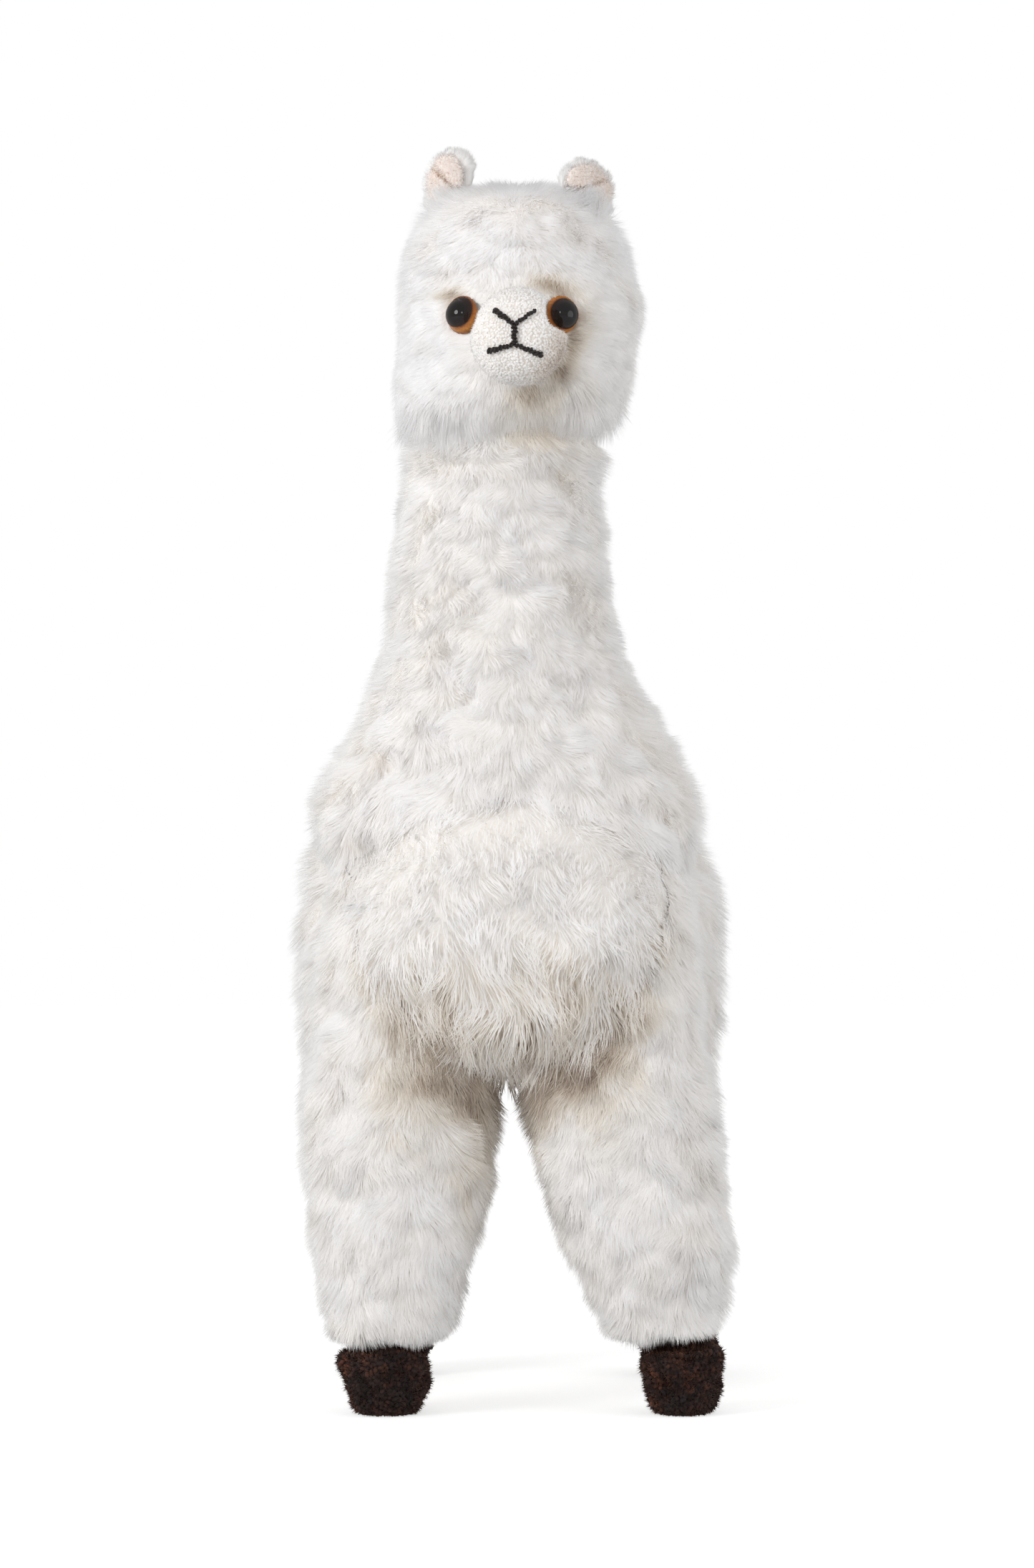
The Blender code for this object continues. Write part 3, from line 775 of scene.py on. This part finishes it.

# Muzzle
# A ball of knitted boucle, sewn on the face: its yarn stands in cream curls of about 1 mm, so
# it looks granular beside the fleece. The left side is bright, and the lower right is painted
# darker as painted shade.
def grain_form():
    """The points and triangles of one small rounded curl of yarn, of radius 1."""
    golden = (1 + math.sqrt(5)) / 2
    corners = []
    for first in (-1, 1):
        for second in (-golden, golden):
            corners += [(0, first, second), (first, second, 0), (second, 0, first)]
    corners = unit(np.array(corners, float))
    faces = []
    for trio in itertools.combinations(range(12), 3):
        first, second, third = corners[list(trio)]
        if max(math.dist(first, second), math.dist(second, third), math.dist(third, first)) < 1.1:
            keeps = np.cross(second - first, third - first) @ first > 0
            faces.append(trio if keeps else (trio[0], trio[2], trio[1]))
    return corners, np.array(faces)


def spaced_places(points, triangles, weights, spacing, draw):
    """Places on a skin that keep about one spacing from each other: faces and corner shares."""
    tries = int(3.2 * weighted_areas(points, triangles, weights).sum() / spacing ** 2)
    faces, shares = sampled(points, triangles, weights, tries, draw)
    places = mixed(points, triangles, faces, shares)
    cells = {}
    kept = []
    for index, place in enumerate(places.tolist()):
        cell = [math.floor(part / spacing) for part in place]
        near = (
            other for around in itertools.product(*((part - 1, part, part + 1) for part in cell))
            for other in cells.get(around, ())
        )
        if all(math.dist(place, other) > 0.8 * spacing for other in near):
            cells.setdefault(tuple(cell), []).append(place)
            kept.append(index)
    return faces[kept], shares[kept]


def inside_fleece(points):
    """1 where a point lies under the fleece's outline, 0 where it stands free of it."""
    hidden = np.zeros(len(points))
    for index, point in enumerate(points.tolist()):
        place, normal, _, distance = outline_tree.find_nearest(point)
        hidden[index] = distance < 30 * MM and (Vector(point) - place).dot(normal) < -3.6 * MM
    return hidden


def corner_uvs(corner_tones, corner_heights):
    """The UV pairs of single triangles, spread a little so that none of them is empty."""
    count = len(corner_tones) // 3
    shift = np.tile((-UV_SPREAD, UV_SPREAD, 0.0), count)
    lift = np.tile((0.0, 0.0, UV_SPREAD), count)
    return np.stack((corner_tones + shift, corner_heights + lift), axis=1)


GRAIN_POINTS, GRAIN_FACES = grain_form()
CURL_TONES = (0.03, 0.97)


def curly_pile(
    node_name, piece_name, material, seed, voxel, curl, stretch, tone, fuzz, fuzz_length,
    shape=None, skin=None, rounding=1,
):
    """A short-pile pouch: a backing just under the outline, curls of yarn on it, and loose ends."""
    draw = np.random.default_rng(seed)
    points, triangles, edges = skin or even_skin((node_name,), voxel)
    points = relaxed(points, edges, rounding)
    normals = vertex_normals(points, triangles)
    if shape is not None:
        points = points + normals * shape(points)[:, None]
        normals = vertex_normals(points, triangles)
    backing = points - normals * (0.55 * curl)
    shown = 1 - inside_fleece(points)
    weights = shown[triangles].min(axis=1)

    faces, shares = spaced_places(backing, triangles, weights, curl, draw)
    count = len(faces)
    out = unit(mixed(normals, triangles, faces, shares))
    rise = curl * draw.uniform(0.02, 0.28, count)
    centres = mixed(backing, triangles, faces, shares) + out * rise[:, None]
    axis = unit(np.cross(out, draw.normal(size=(count, 3))))
    third = np.cross(out, axis)
    size = curl * draw.uniform(0.52, 0.70, count)
    long = size * draw.uniform(1.0, stretch, count)
    form = (
        GRAIN_POINTS[None, :, 0:1] * (axis * long[:, None])[:, None, :]
        + GRAIN_POINTS[None, :, 1:2] * (third * size[:, None])[:, None, :]
        + GRAIN_POINTS[None, :, 2:3] * (out * (size * 0.9)[:, None])[:, None, :]
    )
    form = form * draw.uniform(0.82, 1.12, (count, len(GRAIN_POINTS), 1))
    curl_points = (centres[:, None, :] + form).reshape(-1, 3)
    lit = unit(form.reshape(-1, 3)).reshape(form.shape) + 0.6 * out[:, None, :]
    first = (np.arange(count) * len(GRAIN_POINTS))[:, None, None]
    curl_triangles = (first + GRAIN_FACES[None]).reshape(-1, 3)
    # V runs from a curl's foot to its top, so the foot takes the darker root colour as painted shade between
    # the curls.
    height = (form * out[:, None, :]).sum(axis=2) / (size[:, None] * 0.9)
    heights = np.clip(0.5 + 0.42 * height, 0.05, 0.97).reshape(-1)
    tones = np.clip(tone(centres) + draw.normal(0, 0.07, count), *CURL_TONES)

    fuzz_faces, fuzz_shares = sampled(backing, triangles, weights, fuzz, draw)
    fuzz_out = unit(mixed(normals, triangles, fuzz_faces, fuzz_shares))
    roots = mixed(backing, triangles, fuzz_faces, fuzz_shares) + fuzz_out * 0.3 * curl
    reach = unit(fuzz_out * 0.9 + draw.normal(0, 0.55, (fuzz, 3)))
    reach = reach * (fuzz_length * draw.uniform(0.5, 1.2, fuzz))[:, None]
    half = 0.09 * MM + 0.10 * curl * draw.uniform(0.4, 1, fuzz)
    side = unit(np.cross(reach, fuzz_out)) * half[:, None]
    fuzz_points = np.stack((roots - side, roots + side, roots + reach), axis=1).reshape(-1, 3)
    fuzz_tones = np.clip(tone(roots) + draw.normal(0, 0.08, fuzz), *CURL_TONES)

    skin_tones = np.clip(tone(backing), *CURL_TONES)[triangles].ravel()
    mesh = triangle_mesh(
        piece_name,
        np.concatenate((backing, curl_points, fuzz_points)),
        np.concatenate((
            triangles,
            curl_triangles + len(backing),
            np.arange(3 * fuzz).reshape(-1, 3) + len(backing) + len(curl_points),
        )),
        np.concatenate((normals, unit(lit.reshape(-1, 3)), np.repeat(unit(fuzz_out), 3, axis=0))),
        np.concatenate((
            corner_uvs(skin_tones, np.full(len(skin_tones), 0.03)),
            corner_uvs(np.repeat(tones, GRAIN_FACES.size), heights[curl_triangles.ravel()]),
            corner_uvs(np.repeat(fuzz_tones, 3), np.tile((0.3, 0.3, 0.95), fuzz)),
        )),
    )
    finished_piece(piece_name, mesh, material, node_name)


# The darkest tones are the painted shade on the muzzle's lower right; the root colours darken the curls'
# feet as painted shade.
boucle = pile_material(
    "cotton_boucle_knitted",
    ((0.0, "#B7A89C"), (0.4, "#EBE4DE"), (0.75, "#FBF9F7"), (1.0, "#FEFDFD")),
    ((0.0, "#EBE5DD"), (0.35, "#F6F3EF"), (0.7, "#FDFCFB"), (1.0, "#FFFFFF")),
    roughness=0.85, specular=0.2, sheen=0.3, sheen_roughness=0.6, see_through=0.45,
)


def muzzle_tone_and_shade(points):
    away = points - muzzle_middle
    # Painted shade: the lower right of the ball is darker.
    shaded = ramp(away[:, 0] - 0.6 * away[:, 2], 8 * MM, 24 * MM)
    return 0.86 + 0.05 * soft_noise(points, 9 * MM, 51) - 0.8 * shaded


curly_pile(
    "muzzle", "muzzle_boucle", boucle, 21, 0.9 * MM, curl=1.0 * MM, stretch=1.35,
    tone=muzzle_tone_and_shade, fuzz=9000, fuzz_length=1.2 * MM,
    skin=(muzzle_points, muzzle_triangles, muzzle_edges),
)

# Nose and mouth
# Rows of thick black embroidery thread, chain-stitched by hand through the muzzle: two plies
# twist round each other, each stitch bulges, and the rows end in a thicker knot.
THREAD_WIDTH = 1.7 * MM


def streaked(material, noise, stops, place=None):
    """Noise over an object or a place, and the colours that it runs between."""
    if place is None:
        place = add_node(material, "ShaderNodeTexCoord").outputs["Object"]
    streaks = add_node(material, "ShaderNodeTexNoise", noise, {"Vector": place})
    return streaks, add_node(material, "ShaderNodeValToRGB", {"stops": stops}, {"Fac": streaks})


thread, thread_shader = new_material("cotton_thread_twisted", {
    "Roughness": 0.6,
    "Specular IOR Level": 0.35,
    "Sheen Weight": 0.25,
    "Sheen Roughness": 0.4,
    "Sheen Tint": linear("#6A5E58"),
})
# Fibres of the ply show as streaks about 0.3 mm wide.
thread_streaks, thread_colors = streaked(
    thread, {"Scale": 3300.0, "Detail": 3.0}, ((0.3, "#0B0908"), (0.75, "#2A211E"))
)
join(thread_colors, thread_shader.inputs["Base Color"])
thread_bump = add_node(
    thread, "ShaderNodeBump", {"Strength": 0.5, "Distance": 0.0002}, {"Height": thread_streaks}
)
join(thread_bump, thread_shader.inputs["Normal"])


def thread_row(node_name, start, end, start_width, end_width):
    """One row between two places, seen from the front as (x, z), laid on the muzzle."""
    length = math.dist(start, end)
    steps = 44
    sides = 7
    stitch_length = 1.9 * MM
    twist_length = 2.6 * MM
    shares = np.linspace(0, 1, steps)
    centres = np.empty((steps, 3))
    ups = np.empty((steps, 3))
    for index, share in enumerate(shares.tolist()):
        x = start[0] + (end[0] - start[0]) * share
        z = start[1] + (end[1] - start[1]) * share
        place, normal, _, _ = muzzle_tree.ray_cast(Vector((x, -0.3, z)), Vector((0, 1, 0)))
        centres[index] = place + normal * 0.45 * THREAD_WIDTH
        ups[index] = normal
    along = unit(np.gradient(centres, axis=0))
    across = unit(np.cross(along, ups))
    stitches = max(3, round(length / stitch_length))
    bulge = 0.74 + 0.38 * np.abs(np.sin(math.pi * stitches * shares))
    width = (start_width + (end_width - start_width) * shares) * bulge
    width = width * np.sqrt(np.clip(1 - (2 * shares - 1) ** 14, 0.05, 1))
    sway = 0.10 * THREAD_WIDTH * np.sin(math.pi * stitches * shares + 0.8)
    turn = math.tau * length / twist_length * shares
    points = []
    triangles = []
    for ply in range(2):
        angle = turn + math.pi * ply
        spine = centres + across * (sway + 0.22 * width * np.cos(angle))[:, None]
        spine = spine + ups * (0.20 * width * np.sin(angle))[:, None]
        first = len(points)
        for ring, side in itertools.product(range(steps), range(sides)):
            around = math.tau * side / sides
            reach = across[ring] * math.cos(around) + ups[ring] * math.sin(around)
            points.append(spine[ring] + reach * width[ring] * 0.37)
        for ring, side in itertools.product(range(steps - 1), range(sides)):
            here = first + ring * sides + side
            beside = first + ring * sides + (side + 1) % sides
            triangles += [(here, beside, beside + sides), (here, beside + sides, here + sides)]
        for ring, order in ((0, -1), (steps - 1, 1)):
            base = first + ring * sides
            for side in range(1, sides - 1):
                triangles.append((base, base + side, base + side + 1)[::order])
    points = np.array(points)
    triangles = np.array(triangles)
    mesh = triangle_mesh(node_name + "_thread", points, triangles, vertex_normals(points, triangles))
    finished_piece(node_name + "_thread", mesh, thread, node_name)


low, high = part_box("lip_stitch_center")
middle_x = (low.x + high.x) / 2
nose_place = (middle_x, high.z + 0.3 * MM)
lip_place = (middle_x, low.z - 0.3 * MM)
half = THREAD_WIDTH / 2
thread_row("lip_stitch_center", nose_place, lip_place, 2.3 * MM, 2.0 * MM)
for side, sign, nostril_end_width in (("left", 1, 1.5 * MM), ("right", -1, 2.5 * MM)):
    low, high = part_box("nostril_stitch_" + side)
    outer_x = high.x - half if sign > 0 else low.x + half
    thread_row(
        "nostril_stitch_" + side, nose_place, (outer_x, high.z - half), 1.6 * MM, nostril_end_width
    )
    low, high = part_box("mouth_stitch_" + side)
    outer_x = high.x - half if sign > 0 else low.x + half
    # The viewer's left end of the mouth sits a little higher than the right one.
    outer_z = low.z + half - sign * 0.7 * MM
    thread_row("mouth_stitch_" + side, lip_place, (outer_x, outer_z), 1.6 * MM, 2.3 * MM)

# Eyes
# Safety eyes of clear acrylic, moulded and painted behind in amber with a dark pupil. The
# pupil seems to stand forward of the amber, and a hard gloss lies over both. A washer on the
# shank locks each eye behind the cloth.
EYE_DOME = 6.8 * MM
EYE_TURN = math.radians(42)
HALF_HEAD_TURN = math.radians(2.5)
EYE_MAP_MM = 18
acrylic, acrylic_shader = new_material("acrylic_eye_moulded", {
    "Roughness": 0.3,
    "IOR": 1.49,
    "Specular IOR Level": 0.0,
    "Coat Weight": 0.55,
    "Coat Roughness": 0.03,
    "Coat IOR": 1.49,
})
eye_place = add_node(acrylic, "ShaderNodeUVMap", {"uv_map": UV_NAME})
from_pupil = add_node(
    acrylic, "ShaderNodeVectorMath",
    {"operation": "DISTANCE", 1: (0.5, 0.5, 0)},
    {0: eye_place},
)
# The map of an eye is 18 mm wide, so 1/18 is a millimetre from the pupil's middle.
eye_rings = add_node(acrylic, "ShaderNodeValToRGB", {"stops": (
    (0.0, "#0A0504"), (0.22, "#0E0705"), (0.325, "#2A160D"), (0.338, "#8A4F1F"),
    (0.36, "#B9783A"), (0.41, "#C5863F"), (0.45, "#8F5726"),
)}, {"Fac": from_pupil.outputs["Value"]})
_, eye_tint = streaked(
    acrylic, {"Scale": 26.0, "Detail": 2.0}, ((0.3, "#E2D2C2"), (0.7, "#FFFFFF")), eye_place
)
join(multiplied(acrylic, eye_rings, eye_tint), acrylic_shader.inputs["Base Color"])

washer_plastic, washer_shader = new_material("polyethylene_washer_moulded", {
    "Roughness": 0.45,
    "IOR": 1.5,
})
_, washer_tint = streaked(washer_plastic, {"Scale": 1200.0}, ((0.3, "#D5D4CF"), (0.7, "#E2E1DD")))
join(washer_tint, washer_shader.inputs["Base Color"])

EYE_PROFILE = (
    (0.0, 6.35), (1.0, 6.28), (2.0, 6.08), (3.0, 5.72), (3.9, 5.22), (4.7, 4.58), (5.3, 3.88),
    (5.68, 3.25), (5.86, 2.85), (6.05, 2.60), (6.4, 2.25), (6.8, 1.75), (7.15, 1.15),
    (7.38, 0.55), (7.5, 0.0), (7.5, -1.0), (6.6, -1.2),
)
# The pupil seems to sit a little inwards and up, more up in the right eye: mm from the axis.
for side, sign, pupil_in, pupil_up in (("left", 1, 0.9, 0.2), ("right", -1, 0.9, 1.0)):
    node_name = "eye_" + side
    angle = EYE_TURN - sign * HALF_HEAD_TURN
    axis = np.array((sign * math.sin(angle), -math.cos(angle), 0))
    solid = solid_points(node_name)
    pole = solid[(solid @ axis).argmax()]
    centre = pole - axis * EYE_DOME
    up = np.array((0, 0, 1.0))
    right = np.cross(axis, up)
    steps = 72
    points = []
    flat_places = []
    for (radius, height), step in itertools.product(EYE_PROFILE, range(steps)):
        around = math.tau * step / steps
        reach = right * math.cos(around) + up * math.sin(around)
        points.append(centre + reach * radius * MM + axis * height * MM)
        outwards = -sign * radius * math.cos(around) + pupil_in
        upwards = radius * math.sin(around) - pupil_up
        flat_places.append((0.5 + outwards / EYE_MAP_MM, 0.5 + upwards / EYE_MAP_MM))
    triangles = []
    for ring, step in itertools.product(range(len(EYE_PROFILE) - 1), range(steps)):
        here = ring * steps + step
        beside = ring * steps + (step + 1) % steps
        triangles.append((here, here + steps, beside + steps))
        if ring > 0:
            triangles.append((here, beside + steps, beside))
    points = np.array(points)
    triangles = np.array(triangles)
    normals = vertex_normals(points, triangles)
    if (normals[steps * 5] @ axis) < 0:
        triangles = triangles[:, ::-1]
        normals = -normals
    normals[:steps] = axis
    uvs = np.array(flat_places)[triangles.ravel()]
    mesh = triangle_mesh(node_name + "_acrylic", points, triangles, normals, uvs)
    finished_piece(node_name + "_acrylic", mesh, acrylic, node_name)
    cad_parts["eye_washer_" + side].data.materials[0] = washer_plastic

# Ear linings
# Folded flaps of short pinkish pile inside the ears. The fold is a crease that rises from the
# lower left to the upper right, painted brown-gold along it as painted shade.
# The darkest tones are the painted shade in the fold.
lining_pile = pile_material(
    "cotton_pile_sheared",
    ((0.0, "#9A6D3E"), (0.25, "#E0CBB8"), (0.6, "#F8F1EC"), (1.0, "#FCF8F6")),
    ((0.0, "#E6D7CA"), (0.35, "#F5ECE5"), (0.7, "#FDFBFA"), (1.0, "#FFFFFF")),
    roughness=0.85, specular=0.2, sheen=0.25, sheen_roughness=0.6, see_through=0.4,
)
for place, side in enumerate(("left", "right")):
    node_name = "ear_lining_" + side
    slope = 0.55 if side == "left" else -1.1
    fold_offset = np.array((-1, 0, -0.5) if side == "left" else (2, 0, -2)) * MM
    fold_place = box_middle(node_name) + fold_offset

    def from_crease(points, fold_place=fold_place, slope=slope):
        offset = points - fold_place
        return ((offset[:, 2] - 0.5 * MM) - slope * offset[:, 0]) / math.hypot(1, slope)

    def crease_shape(points, from_crease=from_crease):
        return -1.3 * MM * bump(from_crease(points), 0, 1.1 * MM)

    def lining_tone_and_shade(points, fold_place=fold_place, from_crease=from_crease):
        # Painted shade along the fold.
        near_middle = ramp(np.abs(points[:, 0] - fold_place[0]), 6 * MM, 3 * MM)
        fold = bump(from_crease(points), 0, 0.8 * MM) * near_middle
        return 0.76 + 0.10 * soft_noise(points, 5 * MM, 61) - 0.7 * fold

    curly_pile(
        node_name, node_name + "_pile", lining_pile, 31 + place, 0.7 * MM,
        curl=1.2 * MM, stretch=1.6, tone=lining_tone_and_shade, fuzz=6000, fuzz_length=2.2 * MM,
        shape=crease_shape, rounding=3,
    )

# Hooves
# Small stuffed pads in dark brown curly pile, sewn into the cuffs. The curls are about 2 mm
# and nearly black, with a reddish brown where the light comes through them at the sides.
# The root colours darken the backing and the feet of the curls, as painted shade between them.
hoof_pile = pile_material(
    "acrylic_curl_pile_dyed",
    ((0.0, "#120907"), (0.4, "#26140E"), (0.75, "#47281B"), (1.0, "#6E4230")),
    ((0.0, "#6B6460"), (0.4, "#B5ADA8"), (0.8, "#F2EEEB"), (1.0, "#FFFFFF")),
    roughness=0.75, specular=0.3, sheen=0.35, sheen_roughness=0.4, sheen_tint="#8A5A40",
)


def hoof_tone(points):
    return 0.45 + 0.18 * soft_noise(points, 14 * MM, 71) + 0.20 * soft_noise(points, 4 * MM, 72)


def hoof_shape(points):
    """Soft dents in the pad, but a flat sole."""
    dents = 1.7 * MM * soft_noise(points, 15 * MM, 73) + 0.7 * MM * soft_noise(points, 6 * MM, 74)
    corner = ramp(points[:, 0], -0.056, -0.072) * ramp(points[:, 2], 14 * MM, 3 * MM)
    return (dents - 1.6 * MM) * ramp(points[:, 2], 1 * MM, 7 * MM) - 3 * MM * corner


for place, (node_name, curl, fuzz) in enumerate((
    ("hoof_front_left", 1.7 * MM, 12000), ("hoof_front_right", 1.7 * MM, 12000),
    ("hoof_rear_left", 2.2 * MM, 5000), ("hoof_rear_right", 2.2 * MM, 5000),
)):
    curly_pile(
        node_name, node_name + "_pile", hoof_pile, 41 + place, 1.5 * MM,
        curl=curl, stretch=1.8, tone=hoof_tone, fuzz=fuzz, fuzz_length=2.4 * MM,
        shape=hoof_shape, rounding=4,
    )

# Studio
# A seamless pale floor and three soft lamps: a large key at the upper left, a small one in
# front, and a weaker fill at the right. The backdrop shows white, but adds no light of its own.
FLOOR_LIFT = 0.60
WORLD_LIGHT = 0.58
floor_material, floor_shader = new_material("studio_paper_matte", {
    "Base Color": linear("#CFCFCF"),
    "Roughness": 0.9,
})
paper_grain = add_node(floor_material, "ShaderNodeTexNoise", {"Scale": 900.0})
paper_bump = add_node(
    floor_material, "ShaderNodeBump",
    {"Strength": 0.05, "Distance": 0.0002},
    {"Height": paper_grain},
)
join(paper_bump, floor_shader.inputs["Normal"])


def seen_directly(owner):
    """1 for the rays that show a backdrop: from the camera, a mirror or a clear surface."""
    path = add_node(owner, "ShaderNodeLightPath")
    seen = path.outputs["Is Camera Ray"]
    for ray in ("Is Transmission Ray", "Is Glossy Ray"):
        seen = add_node(
            owner, "ShaderNodeMath", {"operation": "MAXIMUM"}, {0: seen, 1: path.outputs[ray]}
        )
    # Light spread inside the fleece's fibres isn't such a ray, so the backdrop adds none to them.
    spread = path.outputs["Is Diffuse Ray"]
    outside = add_node(owner, "ShaderNodeMath", {"operation": "SUBTRACT", 0: 1.0}, {1: spread})
    return add_node(owner, "ShaderNodeMath", {"operation": "MULTIPLY"}, {0: seen, 1: outside})


lift = add_node(
    floor_material, "ShaderNodeMath",
    {"operation": "MULTIPLY", 1: FLOOR_LIFT},
    {0: seen_directly(floor_material)},
)
glow = add_node(floor_material, "ShaderNodeEmission", links={"Strength": lift})
both = add_node(floor_material, "ShaderNodeAddShader", links={0: floor_shader, 1: glow})
join(both, floor_material.node_tree.nodes["Material Output"].inputs["Surface"])
floor_mesh = bpy.data.meshes.new("studio_floor")
floor_mesh.from_pydata([(-4, -4, 0), (4, -4, 0), (4, 4, 0), (-4, 4, 0)], [], [(0, 1, 2, 3)])
floor_mesh.materials.append(floor_material)
floor = placed("studio_floor", floor_mesh)

world = bpy.data.worlds.new("studio_white")
bpy.context.scene.world = world
world.use_nodes = True
background = world.node_tree.nodes["Background"]
background.inputs["Color"].default_value = (1, 1, 1, 1)
bright = add_node(
    world, "ShaderNodeMapRange",
    {"From Min": 0.0, "From Max": 1.0, "To Min": WORLD_LIGHT, "To Max": 1.0},
    {"Value": seen_directly(world)},
)
join(bright, background.inputs["Strength"])

TOY_MIDDLE = Vector((0, -0.04, 0.25))
for name, place, size, power in (
    ("key_softbox", (-1.8, -1.6, 1.0), 1.0, 26),
    ("front_softbox", (-0.27, -2.1, 0.85), 0.4, 2.5),
    ("fill_softbox", (1.7, -0.8, 0.4), 1.4, 9.5),
):
    lamp = bpy.data.lights.new(name, "AREA")
    lamp.shape = "DISK"
    lamp.size = size
    lamp.energy = power
    light = placed(name, lamp)
    light.location = place
    light.rotation_euler = (TOY_MIDDLE - Vector(place)).to_track_quat("-Z", "Y").to_euler()

camera_data = bpy.data.cameras.new("front_camera")
camera_data.sensor_width = 36
camera_data.lens = 127.9
camera_data.clip_start = 0.05
camera = placed("front_camera", camera_data)
camera.location = (0.003, -2.28, 0.25)
camera.rotation_euler = (math.pi / 2, 0, 0)
bpy.context.scene.camera = camera
bpy.context.scene.view_settings.view_transform = "Standard"
